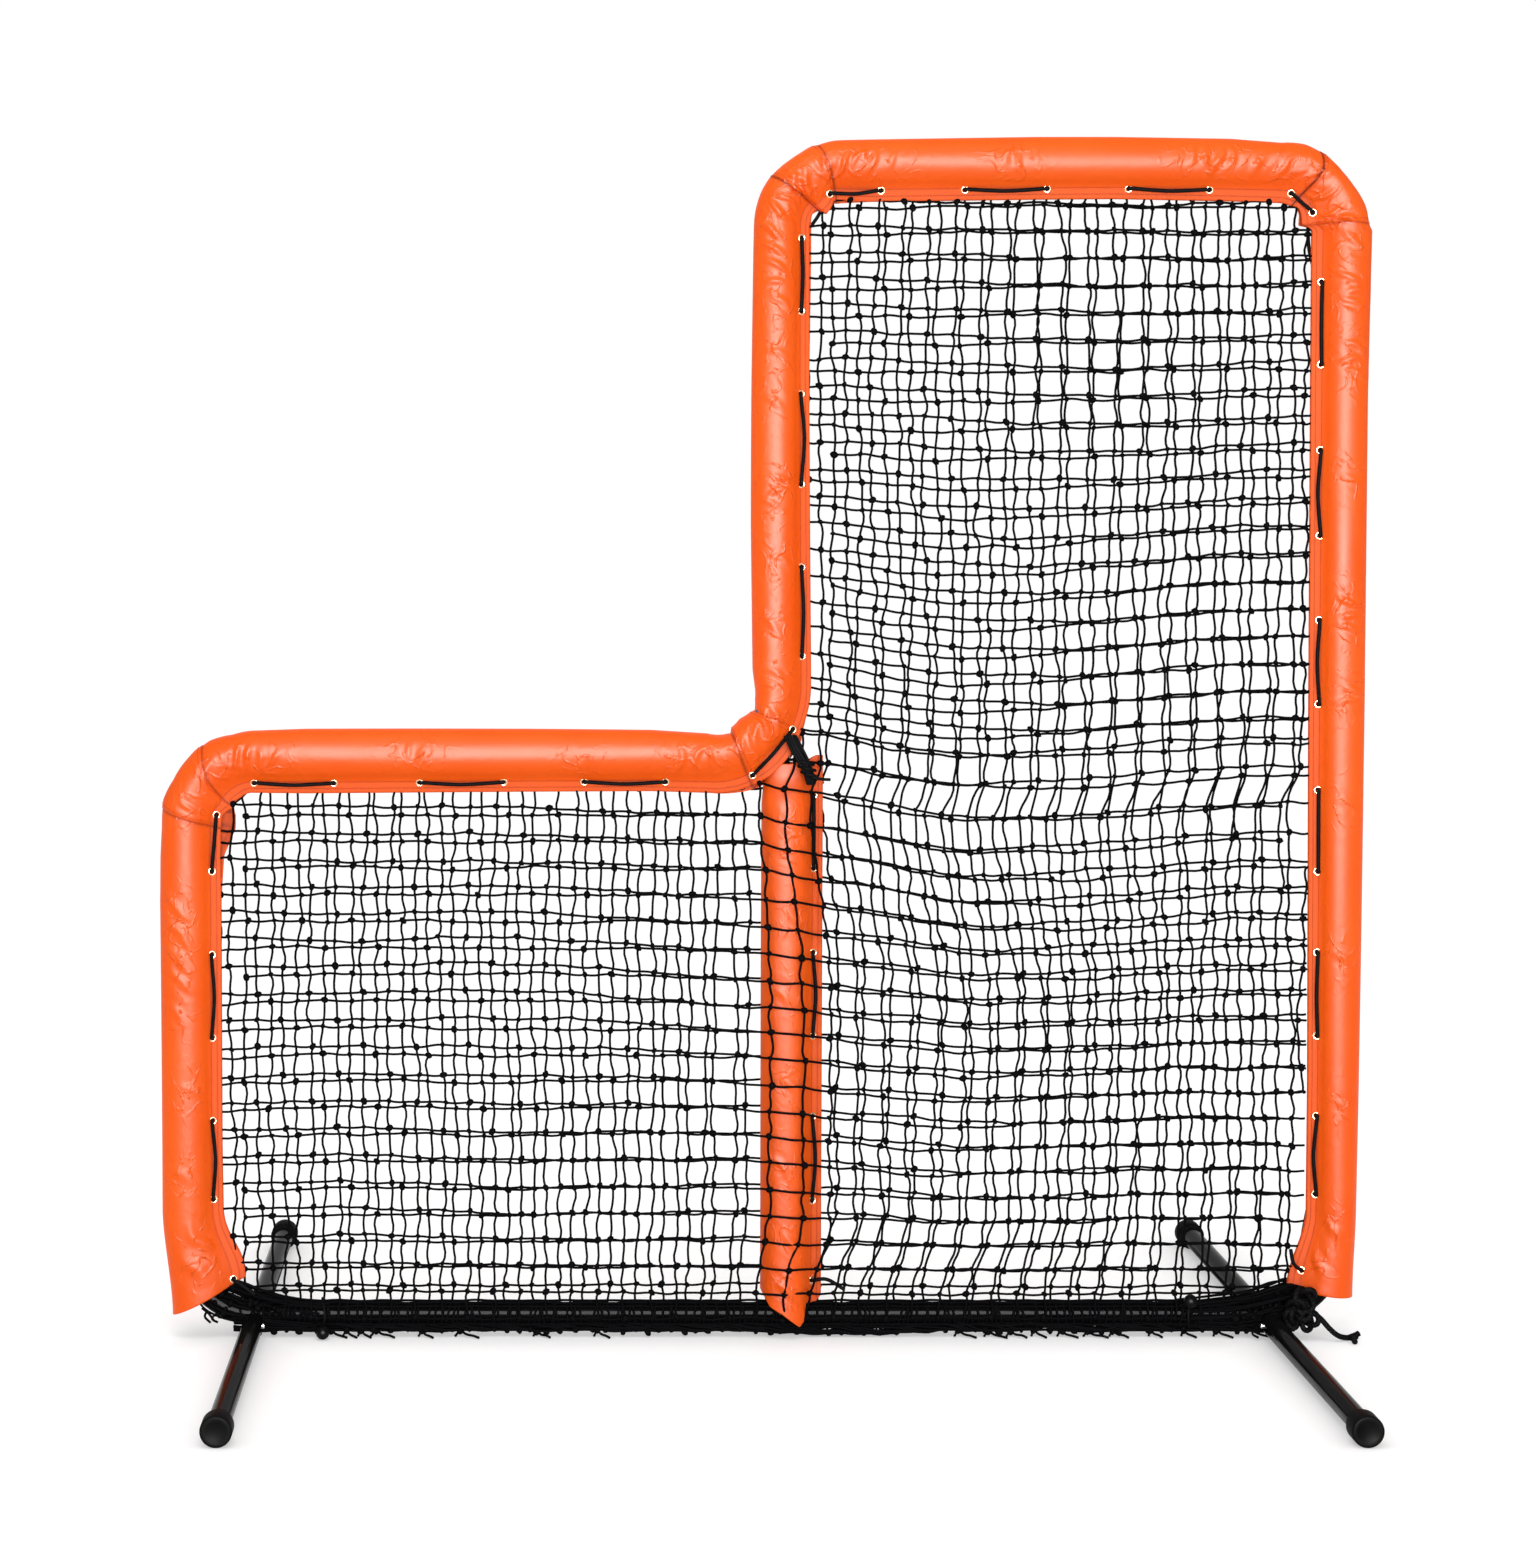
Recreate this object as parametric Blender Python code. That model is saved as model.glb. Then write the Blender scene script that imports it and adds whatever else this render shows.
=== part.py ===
"""Baseball L screen: a padded tube frame with a throwing notch, half legs, a double net and lacing.

Metres. +X is to the right seen from the pitcher's front, +Y goes away to the rear, +Z is up.
The origin is on the floor under the middle of the frame.
"""
import math

import bmesh
import bpy
from mathutils import Vector

# Frame of round tube
FRAME_SIDE = 2.134
NOTCH_SIDE = 1.0668
TUBE_OD = 0.0381
TUBE_WALL = 0.0016
BEND_RADIUS = 0.120
ELBOW_LEG = 0.030
SWAGE_LENGTH = 0.060
CENTRE_POST_SHIFT = 0.012
RAIL_ABOVE_LEGS = 0.013
# Clearance between pieces that touch, and the overrun of every cut
GAP = 0.0003
OVERRUN = 0.002
# Half legs, the cross spigots that they slip on, and their rubber tips
LEG_INSET = 0.122
LEG_REACH = 0.610
SPIGOT_REACH = 0.125
TIP_OD = 0.054
TIP_LENGTH = 0.045
TIP_WALL = 0.006
TIP_ROUNDING = 0.004
# Spring snap buttons and their leaf clips
BUTTON_OD = 0.0095
BUTTON_AT = 0.036
BUTTON_PROUD = 0.0035
BUTTON_DOME = 0.0020
BUTTON_CROWN_HEIGHT = 0.0007
BUTTON_CROWN_OD = 0.0063
BUTTON_FLANGE_OD = 0.013
BUTTON_FLANGE_THICK = 0.0012
BUTTON_SEAT = 0.0025
CLIP_THICK = 0.0008
CLIP_WIDTH = 0.008
CLIP_PAD = 0.016
CLIP_LENGTH = 0.055
CLIP_FOLD_THICK = 0.004
CLIP_WALL_SPACE = 0.0022
# Padding: foam sleeves under laced vinyl covers
PAD_OD = 0.085
COVER_THICK = 0.001
FLAP_WIDTH = 0.026
FLAP_THICK = 0.002
FLAP_GAP = 0.007
FLAP_ROOT_SPACE = 0.002
FOAM_SETBACK = 0.006
COVER_END_SHEAR = 0.010
CENTRE_COVER_DROP = 0.024
CENTRE_PAD_TOP_DROP = 0.022
# Lacing
LACE_OD = 0.0055
LACE_PITCH = 0.150
LACE_END_SPACE = 0.012
LACE_HOLE_OD = 0.0124
LACE_TURN = 0.0045
LACE_DIP = 0.0015
LACE_TAIL = 0.034
LACE_TAIL_LEAN_SHARE = 0.5
LACE_FAN_DEGREES = 33
LACE_FAN_STEPS = 2
LACE_START = {"left": 0.036, "low": 0.053, "tall": 0.101, "top": 0.117, "right": 0.145}
CENTRE_LACE_START = 0.087
HOLE_FLAP_SHARE = 0.5
CORNER_HOLE_SHARES = {"lower_left": (0.5,), "inner": (0.05, 0.95), "top_left": (0.5,), "top_right": (0.5,)}
# Net of two layers, each of an upper and a lower part
NET_STRAND = 0.003
NET_PITCH = 0.165
# Ball bungees that tie the net to the bottom rail
BUNGEE_OD = 0.0045
BALL_OD = 0.0255
LEFT_BALL_INSET = 0.24895
RIGHT_BALL_INSET = 0.26895
# Knotted rope end at the lower right corner
ROPE_OD = 0.010
KNOT_OD = 0.040
KNOT_HEIGHT = 0.050
KNOT_INSET = 0.075
ROPE_ROUTE = ((0.0, 0.0, 0.0), (0.008, 0.0, -0.001), (0.020, -0.004, -0.010), (0.034, -0.008, -0.026),
              (0.050, -0.008, -0.039), (0.068, -0.002, -0.0445), (0.088, 0.006, -0.0447))
# Numbers of faces and steps
TUBE_SIDES = 12
BEND_STEPS = 4
WRAP_STEPS = 2
SEAM_STEPS = 1
TIP_SIDES = 16
BUTTON_SIDES = 8
HOLE_SIDES = 6
BALL_RINGS = 7
BALL_SIDES = 12
LOOP_STEPS = 12
KNOT_RINGS = 8
KNOT_SIDES = 12
KNOT_WAVES = 3
KNOT_WAVE_SHARE = 0.09
ROPE_POINTS = 17
SHARP_DEGREES = 40
# Colour (red, green, blue), roughness and metallic of each finish
FINISHES = {
    "black_paint": ((0.012, 0.012, 0.013), 0.25, 0.0),
    "orange_vinyl": ((1.0, 0.13, 0.012), 0.35, 0.0),
    "grey_foam": ((0.15, 0.15, 0.16), 0.9, 0.0),
    "black_rubber": ((0.02, 0.02, 0.02), 0.7, 0.0),
    "bright_steel": ((0.75, 0.75, 0.77), 0.2, 1.0),
    "black_twine": ((0.02, 0.02, 0.022), 0.8, 0.0),
    "black_cord": ((0.015, 0.015, 0.016), 0.7, 0.0),
    "black_plastic": ((0.015, 0.015, 0.015), 0.35, 0.0),
}

# Sizes that follow from the ones above
TUBE_R = TUBE_OD / 2
BORE_R = TUBE_R - TUBE_WALL
SWAGE_R = BORE_R - GAP
SWAGE_BORE_R = SWAGE_R - TUBE_WALL
PAD_R = PAD_OD / 2
COVER_INNER_R = PAD_R - COVER_THICK
FLAP_IN = FLAP_GAP / 2
FLAP_OUT = FLAP_IN + FLAP_THICK
FLAP_ROOT = PAD_R + FLAP_ROOT_SPACE
FLAP_EDGE = PAD_R + FLAP_WIDTH
HOLE_OFFSET = PAD_R + FLAP_WIDTH * HOLE_FLAP_SHARE
LACE_R = LACE_OD / 2
LACE_SIDE = FLAP_OUT + GAP + LACE_R
TIP_R = TIP_OD / 2
LEG_Z = TIP_R * math.cos(math.pi / TIP_SIDES)
RAIL_Z = LEG_Z + RAIL_ABOVE_LEGS
TOP_Z = RAIL_Z + FRAME_SIDE - TUBE_OD
LOW_Z = TOP_Z - NOTCH_SIDE
RIGHT_X = (FRAME_SIDE - TUBE_OD) / 2
LEFT_X = -RIGHT_X
TALL_X = LEFT_X + NOTCH_SIDE
CENTRE_X = TALL_X + CENTRE_POST_SHIFT
ELBOW_REACH = BEND_RADIUS + ELBOW_LEG

UP = Vector((0, 0, 1))
DOWN = -UP
RIGHT = Vector((1, 0, 0))
LEFT = -RIGHT
REAR = Vector((0, 1, 0))
FRONT = -REAR

# The corners of the frame, where the tube axes would meet, in clockwise order from the front
CORNERS = {
    "bottom_left": (Vector((LEFT_X, 0, RAIL_Z)), LEFT, UP),
    "lower_left": (Vector((LEFT_X, 0, LOW_Z)), UP, RIGHT),
    "inner": (Vector((TALL_X, 0, LOW_Z)), RIGHT, UP),
    "top_left": (Vector((TALL_X, 0, TOP_Z)), UP, RIGHT),
    "top_right": (Vector((RIGHT_X, 0, TOP_Z)), RIGHT, DOWN),
    "bottom_right": (Vector((RIGHT_X, 0, RAIL_Z)), DOWN, LEFT),
}


def clear_scene():
    """Remove the objects that the file opened with."""
    for item in list(bpy.data.objects):
        bpy.data.objects.remove(item)


def finish_of(name):
    """Return the material with a finish's colour, roughness and metallic value."""
    material = bpy.data.materials.get(name)
    if material is None:
        colour, roughness, metallic = FINISHES[name]
        material = bpy.data.materials.new(name)
        material.use_nodes = True
        shader = material.node_tree.nodes["Principled BSDF"]
        shader.inputs["Base Color"].default_value = (*colour, 1)
        shader.inputs["Roughness"].default_value = roughness
        shader.inputs["Metallic"].default_value = metallic
        material.diffuse_color = (*colour, 1)
    return material


def add_node(name, mesh_data, finish, smooth=True):
    """Put finished mesh or curve data in the scene under the node's name."""
    item = bpy.data.objects.new(name, mesh_data)
    bpy.context.scene.collection.objects.link(item)
    mesh_data.materials.append(finish_of(finish))
    if smooth and item.type == "MESH":
        mesh_data.shade_smooth()
        mesh_data.set_sharp_from_angle(angle=math.radians(SHARP_DEGREES))
    return item


def mesh_from(bm, name):
    """Turn a bmesh into mesh data with its faces pointing out."""
    bmesh.ops.recalc_face_normals(bm, faces=bm.faces)
    mesh = bpy.data.meshes.new(name)
    bm.to_mesh(mesh)
    bm.free()
    return mesh


def cut(item, cutter):
    """Take the cutter's shape out of a node and hide the cutter."""
    cutter.hide_render = True
    cutter.display_type = "WIRE"
    boolean = item.modifiers.new("cut_" + cutter.name, "BOOLEAN")
    boolean.operation = "DIFFERENCE"
    boolean.solver = "EXACT"
    boolean.object = cutter


def net_side(along):
    """Return the direction square to a path that points to the net, on its right-hand side."""
    return Vector((along.z, 0, -along.x))


def bend_stations(corner):
    """Return the points and directions of the tube axis round a corner's bend."""
    meeting, before, after = CORNERS[corner]
    centre = meeting - before * BEND_RADIUS + after * BEND_RADIUS
    stations = []
    for step in range(BEND_STEPS + 1):
        turn = math.pi / 2 * step / BEND_STEPS
        point = centre + BEND_RADIUS * (before * math.sin(turn) - after * math.cos(turn))
        stations.append((point, before * math.cos(turn) + after * math.sin(turn)))
    return stations


def round_section(radius, sides=TUBE_SIDES):
    """Return a circle as offsets towards the net and to the rear."""
    turns = [2 * math.pi * side / sides for side in range(sides)]
    return [(radius * math.cos(turn), radius * math.sin(turn)) for turn in turns]


def cover_section():
    """Return the outer and the inner line of a cover: front flap, round the pad, rear flap."""
    turns = [2 * math.pi * side / TUBE_SIDES for side in range(1, TUBE_SIDES)]
    outer = [(FLAP_EDGE, FLAP_OUT), (FLAP_ROOT, FLAP_OUT)]
    outer += [(PAD_R * math.cos(turn), PAD_R * math.sin(turn)) for turn in turns]
    outer += [(FLAP_ROOT, -FLAP_OUT), (FLAP_EDGE, -FLAP_OUT)]
    inner = [(FLAP_EDGE, FLAP_IN), (FLAP_ROOT - COVER_THICK, FLAP_IN)]
    inner += [(COVER_INNER_R * math.cos(turn), COVER_INNER_R * math.sin(turn)) for turn in turns]
    inner += [(FLAP_ROOT - COVER_THICK, -FLAP_IN), (FLAP_EDGE, -FLAP_IN)]
    return outer, inner


def section_ring(bm, point, along, section, shear=0.0):
    """Add a section's points at a place on the path, slanted by a shear along the path."""
    side = net_side(along)
    width = max(abs(offset) for offset, depth in section)
    ring = []
    for offset, depth in section:
        place = point + side * offset + REAR * depth + along * shear * offset / width
        ring.append(bm.verts.new(place))
    return ring


def skin(bm, first, second, closed=True):
    """Join two rings of points with a band of faces."""
    count = len(first)
    last = count if closed else count - 1
    for index in range(last):
        after = (index + 1) % count
        bm.faces.new((first[index], first[after], second[after], second[index]))


def hollow_sweep(name, finish, outer_path, inner_path):
    """Make a round tube from (point, direction, radius) stations of its outside and its bore."""
    bm = bmesh.new()
    ends = []
    for path in (outer_path, inner_path):
        rings = [section_ring(bm, point, along, round_section(radius)) for point, along, radius in path]
        for before, after in zip(rings, rings[1:]):
            skin(bm, before, after)
        ends.append((rings[0], rings[-1]))
    skin(bm, ends[0][0], ends[1][0])
    skin(bm, ends[0][1], ends[1][1])
    return add_node(name, mesh_from(bm, name), finish)


def straight_tube(name, start, end, finish="black_paint", outer=TUBE_R, bore=BORE_R):
    """Make a straight round tube between two points of its axis."""
    along = (end - start).normalized()
    return hollow_sweep(name, finish, [(start, along, outer), (end, along, outer)],
                        [(start, along, bore), (end, along, bore)])


def elbow(name, corner):
    """Make a bent corner tube whose swaged ends slip into the straight tubes."""
    stations = bend_stations(corner)
    first_point, first_along = stations[0]
    last_point, last_along = stations[-1]
    shoulder_in = first_point - first_along * ELBOW_LEG
    shoulder_out = last_point + last_along * ELBOW_LEG
    tip_in = shoulder_in - first_along * SWAGE_LENGTH
    tip_out = shoulder_out + last_along * SWAGE_LENGTH
    outer = [(tip_in, first_along, SWAGE_R), (shoulder_in, first_along, SWAGE_R)]
    outer += [(shoulder_in, first_along, TUBE_R)]
    outer += [(point, along, TUBE_R) for point, along in stations]
    outer += [(shoulder_out, last_along, TUBE_R)]
    outer += [(shoulder_out, last_along, SWAGE_R), (tip_out, last_along, SWAGE_R)]
    inner = [(tip_in, first_along, SWAGE_BORE_R)]
    inner += [(point, along, SWAGE_BORE_R) for point, along in stations]
    inner += [(tip_out, last_along, SWAGE_BORE_R)]
    return hollow_sweep(name, "black_paint", outer, inner)


def cover(name, stations, start_shear=0.0, end_shear=0.0):
    """Make a vinyl cover with its two flaps along a path of stations."""
    outer, inner = cover_section()
    shears = [start_shear] + [0.0] * (len(stations) - 2) + [end_shear]
    bm = bmesh.new()
    rings = []
    for (point, along), shear in zip(stations, shears):
        ring_out = section_ring(bm, point, along, outer, shear)
        ring_in = section_ring(bm, point, along, inner, shear)
        rings.append((ring_out, ring_in))
    for (out_a, in_a), (out_b, in_b) in zip(rings, rings[1:]):
        skin(bm, out_a, out_b, closed=False)
        skin(bm, in_a, in_b, closed=False)
        for index in (0, -1):
            bm.faces.new((out_a[index], out_b[index], in_b[index], in_a[index]))
    for ring_out, ring_in in (rings[0], rings[-1]):
        skin(bm, ring_out, ring_in, closed=False)
    return add_node(name, mesh_from(bm, name), "orange_vinyl")


def foam(name, stations):
    """Make a foam sleeve between the tube and the cover along a path of stations."""
    outer = COVER_INNER_R - GAP
    bore = TUBE_R + GAP
    return hollow_sweep(name, "grey_foam", [(point, along, outer) for point, along in stations],
                        [(point, along, bore) for point, along in stations])


def turned(name, finish, base, axis, across, profile, sides, half_turn=False):
    """Make a turned piece from (distance along the axis, radius) points, closed at radius zero."""
    other = axis.cross(across)
    bm = bmesh.new()
    rings = []
    for distance, radius in profile:
        centre = base + axis * distance
        if radius == 0:
            rings.append([bm.verts.new(centre)])
            continue
        ring = []
        for side in range(sides):
            turn = math.pi * (2 * side + (1 if half_turn else 0)) / sides
            ring.append(bm.verts.new(centre + radius * (across * math.cos(turn) + other * math.sin(turn))))
        rings.append(ring)
    for first, second in zip(rings, rings[1:] + rings[:1]):
        if len(first) == 1 and len(second) == 1:
            continue
        for index in range(sides):
            after = (index + 1) % sides
            if len(first) == 1:
                bm.faces.new((first[0], second[after], second[index]))
            elif len(second) == 1:
                bm.faces.new((first[index], first[after], second[0]))
            else:
                bm.faces.new((first[index], first[after], second[after], second[index]))
    return add_node(name, mesh_from(bm, name), finish)


def rod_cutter(name, centre, axis, radius, half_length, sides=TUBE_SIDES):
    """Make a round cutter centred on a point."""
    across = UP if abs(axis.z) < abs(axis.y) + abs(axis.x) else RIGHT
    profile = [(-half_length, 0), (-half_length, radius), (half_length, radius), (half_length, 0)]
    return turned(name, "grey_foam", centre, axis, across, profile, sides)


def box_cutter(name, low, high):
    """Make a box cutter from its two corners."""
    bm = bmesh.new()
    bmesh.ops.create_cube(bm, size=1)
    for vert in bm.verts:
        for index in range(3):
            vert.co[index] = high[index] if vert.co[index] > 0 else low[index]
    return add_node(name, mesh_from(bm, name), "grey_foam")


def tube_curve(name, finish, points, diameter, resolution=1, closed=False):
    """Make a cord of one thickness through a list of points."""
    curve = bpy.data.curves.new(name, "CURVE")
    curve.dimensions = "3D"
    curve.bevel_depth = diameter / 2
    curve.bevel_resolution = resolution
    curve.use_fill_caps = True
    spline = curve.splines.new("POLY")
    spline.points.add(len(points) - 1)
    for place, point in zip(spline.points, points):
        place.co = (*point, 1)
    spline.use_cyclic_u = closed
    return add_node(name, curve, finish)


def smooth_route(points, count):
    """Return evenly stepped points of one smooth curve through a cord's own points."""
    padded = [points[0]] + list(points) + [points[-1]]
    spans = len(points) - 1
    result = []
    for step in range(count):
        place = step * spans / (count - 1)
        span = min(int(place), spans - 1)
        t = place - span
        a, b, c, d = padded[span:span + 4]
        result.append((2 * b + (c - a) * t + (2 * a - 5 * b + 4 * c - d) * t ** 2
                       + (3 * b - a - 3 * c + d) * t ** 3) / 2)
    return result


def moved(station, distance):
    """Return a station moved along its own direction."""
    point, along = station
    return point + along * distance, along


def build_frame():
    """Make the straight tubes and the bent corners of the frame."""
    for corner in CORNERS:
        elbow(corner + "_elbow", corner)
    reach = ELBOW_REACH + GAP
    runs = {
        "left_post": ("bottom_left", "lower_left"),
        "low_rail": ("lower_left", "inner"),
        "tall_post": ("inner", "top_left"),
        "top_rail": ("top_left", "top_right"),
        "right_post": ("top_right", "bottom_right"),
        "bottom_rail": ("bottom_right", "bottom_left"),
    }
    for name, (first, second) in runs.items():
        start = CORNERS[first][0]
        end = CORNERS[second][0]
        along = (end - start).normalized()
        straight_tube(name, start + along * reach, end - along * reach)
    build_centre_post()


def elbow_cutter(name, corner, radius):
    """Make a cutter of the shape of a corner's bent tube with some room round it."""
    stations = bend_stations(corner)
    stations = [moved(stations[0], -ELBOW_REACH)] + stations + [moved(stations[-1], ELBOW_REACH)]
    bm = bmesh.new()
    rings = [section_ring(bm, point, along, round_section(radius)) for point, along in stations]
    for before, after in zip(rings, rings[1:]):
        skin(bm, before, after)
    bm.faces.new(rings[0])
    bm.faces.new(rings[-1])
    return add_node(name, mesh_from(bm, name), "grey_foam")


def build_centre_post():
    """Make the centre post, coped over the bottom rail and under the inner elbow."""
    start = Vector((CENTRE_X, 0, RAIL_Z))
    end = Vector((CENTRE_X, 0, LOW_Z + TUBE_R))
    post = straight_tube("centre_post", start, end)
    cut(post, rod_cutter("rail_cope", start, RIGHT, TUBE_R + GAP, PAD_OD))
    cut(post, elbow_cutter("elbow_cope", "inner", TUBE_R + GAP))


def padded_runs():
    """Return each cover's stations, in order along the outer L, by its name."""
    bends = {corner: bend_stations(corner) for corner in CORNERS}
    last = BEND_STEPS - SEAM_STEPS
    runs = {}
    runs["left"] = bends["bottom_left"][WRAP_STEPS:] + bends["lower_left"][:SEAM_STEPS + 1]
    runs["lower_left"] = bends["lower_left"][SEAM_STEPS:last + 1]
    runs["low"] = bends["lower_left"][last:] + bends["inner"][:SEAM_STEPS + 1]
    runs["inner"] = bends["inner"][SEAM_STEPS:last + 1]
    runs["tall"] = bends["inner"][last:] + bends["top_left"][:SEAM_STEPS + 1]
    runs["top_left"] = bends["top_left"][SEAM_STEPS:last + 1]
    runs["top"] = bends["top_left"][last:] + bends["top_right"][:SEAM_STEPS + 1]
    runs["top_right"] = bends["top_right"][SEAM_STEPS:last + 1]
    runs["right"] = bends["top_right"][last:] + bends["bottom_right"][:WRAP_STEPS + 1]
    return runs


def drawn_end(end, neighbour, distance):
    """Return an end station drawn in towards its neighbour, on the straight run between them."""
    share = distance / (neighbour[0] - end[0]).length
    return end[0].lerp(neighbour[0], share), end[1].lerp(neighbour[1], share)


def drawn_in(stations, at_start, at_end):
    """Return stations whose two ends are drawn in along the path."""
    start = drawn_end(stations[0], stations[1], at_start)
    end = drawn_end(stations[-1], stations[-2], at_end)
    return [start] + stations[1:-1] + [end]


def rim_point(stations, distance, offset):
    """Return the point of the flap at a distance along a run of stations."""
    left = distance
    for (point_a, along_a), (point_b, along_b) in zip(stations, stations[1:]):
        length = (point_b - point_a).length
        if left <= length:
            start = point_a + net_side(along_a) * offset
            end = point_b + net_side(along_b) * offset
            return start.lerp(end, left / length)
        left -= length
    point, along = stations[-1]
    return point + net_side(along) * offset


def run_length(stations):
    """Return the length of a run of stations."""
    return sum((b[0] - a[0]).length for a, b in zip(stations, stations[1:]))


def hole_distances(name, stations):
    """Return the distances of a cover's lace holes from its start."""
    length = run_length(stations)
    if name in CORNER_HOLE_SHARES:
        return [length * share for share in CORNER_HOLE_SHARES[name]]
    start = CENTRE_LACE_START if name == "centre" else LACE_START[name]
    count = 1 + int((length - LACE_END_SPACE - start) / LACE_PITCH)
    return [start + LACE_PITCH * index for index in range(count)]


def punch_holes(item, name, places):
    """Cut the lace holes of one cover through both of its flaps."""
    bm = bmesh.new()
    for place in places:
        rings = []
        for depth in (-FLAP_OUT - OVERRUN, FLAP_OUT + OVERRUN):
            ring = []
            for side in range(HOLE_SIDES):
                turn = 2 * math.pi * side / HOLE_SIDES
                spread = Vector((math.cos(turn), 0, math.sin(turn))) * LACE_HOLE_OD / 2
                ring.append(bm.verts.new(place + spread + REAR * depth))
            rings.append(ring)
        skin(bm, rings[0], rings[1])
        bm.faces.new(rings[0])
        bm.faces.new(rings[1])
    cut(item, add_node("holes_" + name, mesh_from(bm, name), "grey_foam"))


def build_padding():
    """Make the covers and the foam sleeves of the outer L, and return the lace's holes in order."""
    runs = padded_runs()
    holes = []
    for name, stations in runs.items():
        start_shear = -COVER_END_SHEAR if name == "left" else 0.0
        end_shear = COVER_END_SHEAR if name == "right" else 0.0
        item = cover(name + "_cover", drawn_in(stations, GAP / 2, GAP / 2), start_shear, end_shear)
        distances = hole_distances(name, stations)
        places = [rim_point(stations, distance, HOLE_OFFSET) for distance in distances]
        punch_holes(item, name, places)
        holes.append((name, stations, distances))
        if name == "inner":
            cut(item, post_clearance("inner_cover_notch"))
    bends = {corner: bend_stations(corner) for corner in CORNERS}
    left = bends["bottom_left"][WRAP_STEPS:] + bends["lower_left"][:1]
    foam("left_foam", drawn_in(left, FOAM_SETBACK, GAP))
    low = foam("low_foam", bends["lower_left"] + bends["inner"])
    cut(low, post_clearance("low_foam_notch"))
    foam("tall_foam", drawn_in(bends["inner"][-1:] + bends["top_left"][:1], GAP, GAP))
    foam("top_foam", bends["top_left"] + bends["top_right"])
    right = bends["top_right"][-1:] + bends["bottom_right"][:WRAP_STEPS + 1]
    foam("right_foam", drawn_in(right, GAP, FOAM_SETBACK))
    return holes


def post_clearance(name):
    """Make the cutter that leaves room for the centre post's upper end."""
    centre = Vector((CENTRE_X, 0, LOW_Z - FLAP_EDGE))
    return rod_cutter(name, centre, UP, TUBE_R + GAP, FLAP_EDGE + TUBE_R + GAP)


def centre_stations():
    """Return the centre pad's two ends on the axis of its post."""
    low = Vector((CENTRE_X, 0, RAIL_Z - CENTRE_COVER_DROP))
    high = Vector((CENTRE_X, 0, LOW_Z - CENTRE_PAD_TOP_DROP - FLAP_EDGE + PAD_R))
    return [(low, UP), (high, UP)]


def build_centre_pad():
    """Make the centre post's cover, hung over the bottom rail, and its foam, and return its holes."""
    stations = centre_stations()
    item = cover("centre_cover", stations)
    distances = hole_distances("centre", stations)
    places = [rim_point(stations, distance, HOLE_OFFSET) for distance in distances]
    punch_holes(item, "centre", places)
    rail = Vector((CENTRE_X, 0, RAIL_Z))
    reach = FLAP_EDGE + OVERRUN
    room = TUBE_R + GAP
    cut(item, rod_cutter("rail_notch", rail, RIGHT, room, reach))
    below = stations[0][0].z - OVERRUN
    cut(item, box_cutter("rail_slot", (CENTRE_X - reach, -room, below), (CENTRE_X + reach, room, RAIL_Z)))
    foam_low = (Vector((CENTRE_X, 0, RAIL_Z + TUBE_R + GAP)), UP)
    foam("centre_foam", [foam_low, moved(stations[1], -FOAM_SETBACK)])
    return [("centre", stations, distances)]


def round_the_post():
    """Return the lace's way round the front of the centre post: places and distances off the middle."""
    step = math.radians(LACE_FAN_DEGREES)
    reach = (TUBE_R + GAP + LACE_R) / math.cos(step / 2)
    rim = BEND_RADIUS + HOLE_OFFSET
    centre_x, centre_z = TALL_X - BEND_RADIUS, LOW_Z + BEND_RADIUS
    way = []
    for index in range(-LACE_FAN_STEPS, LACE_FAN_STEPS + 1):
        x = CENTRE_X + reach * math.sin(index * step)
        z = centre_z - math.sqrt(rim ** 2 - (x - centre_x) ** 2)
        way.append((Vector((x, 0, z)), False, reach * math.cos(index * step)))
    return way


def lace_marks(holes):
    """Return the places that a lace passes, whether each is a hole, and its distance off the middle."""
    marks = []
    for name, stations, distances in holes:
        stops = [(distance, True) for distance in distances]
        passed = 0.0
        for (point_a, along_a), (point_b, along_b) in zip(stations, stations[1:]):
            passed += (point_b - point_a).length
            if min(abs(passed - distance) for distance in distances) > LACE_HOLE_OD:
                stops.append((passed, False))
        places = []
        for distance, hole in sorted(stops):
            places.append((rim_point(stations, distance, HOLE_OFFSET), hole, LACE_SIDE))
        if name == "inner":
            at_holes = [mark for mark in places if mark[1]]
            places = at_holes[:1] + round_the_post() + at_holes[1:]
        marks += places
    while not marks[-1][1]:
        marks.pop()
    return marks


def lace_points(holes, start_side):
    """Return a running stitch's points through the holes, changing sides at each one."""
    flat = lace_marks(holes)
    side = start_side
    points = []
    for index, (place, is_hole, off_middle) in enumerate(flat):
        before = flat[index - 1][0] if index else place
        after = flat[index + 1][0] if index + 1 < len(flat) else place
        if not is_hole:
            points.append(place + side * off_middle)
            continue
        back = (before - place).normalized() if index else (place - after).normalized()
        ahead = (after - place).normalized() if index + 1 < len(flat) else -back
        points.append(place + back * LACE_TURN + side * LACE_SIDE)
        points.append(place + side * (LACE_SIDE - LACE_DIP))
        side = -side
        points.append(place + side * (LACE_SIDE - LACE_DIP))
        points.append(place + ahead * LACE_TURN + side * LACE_SIDE)
    return points


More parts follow.
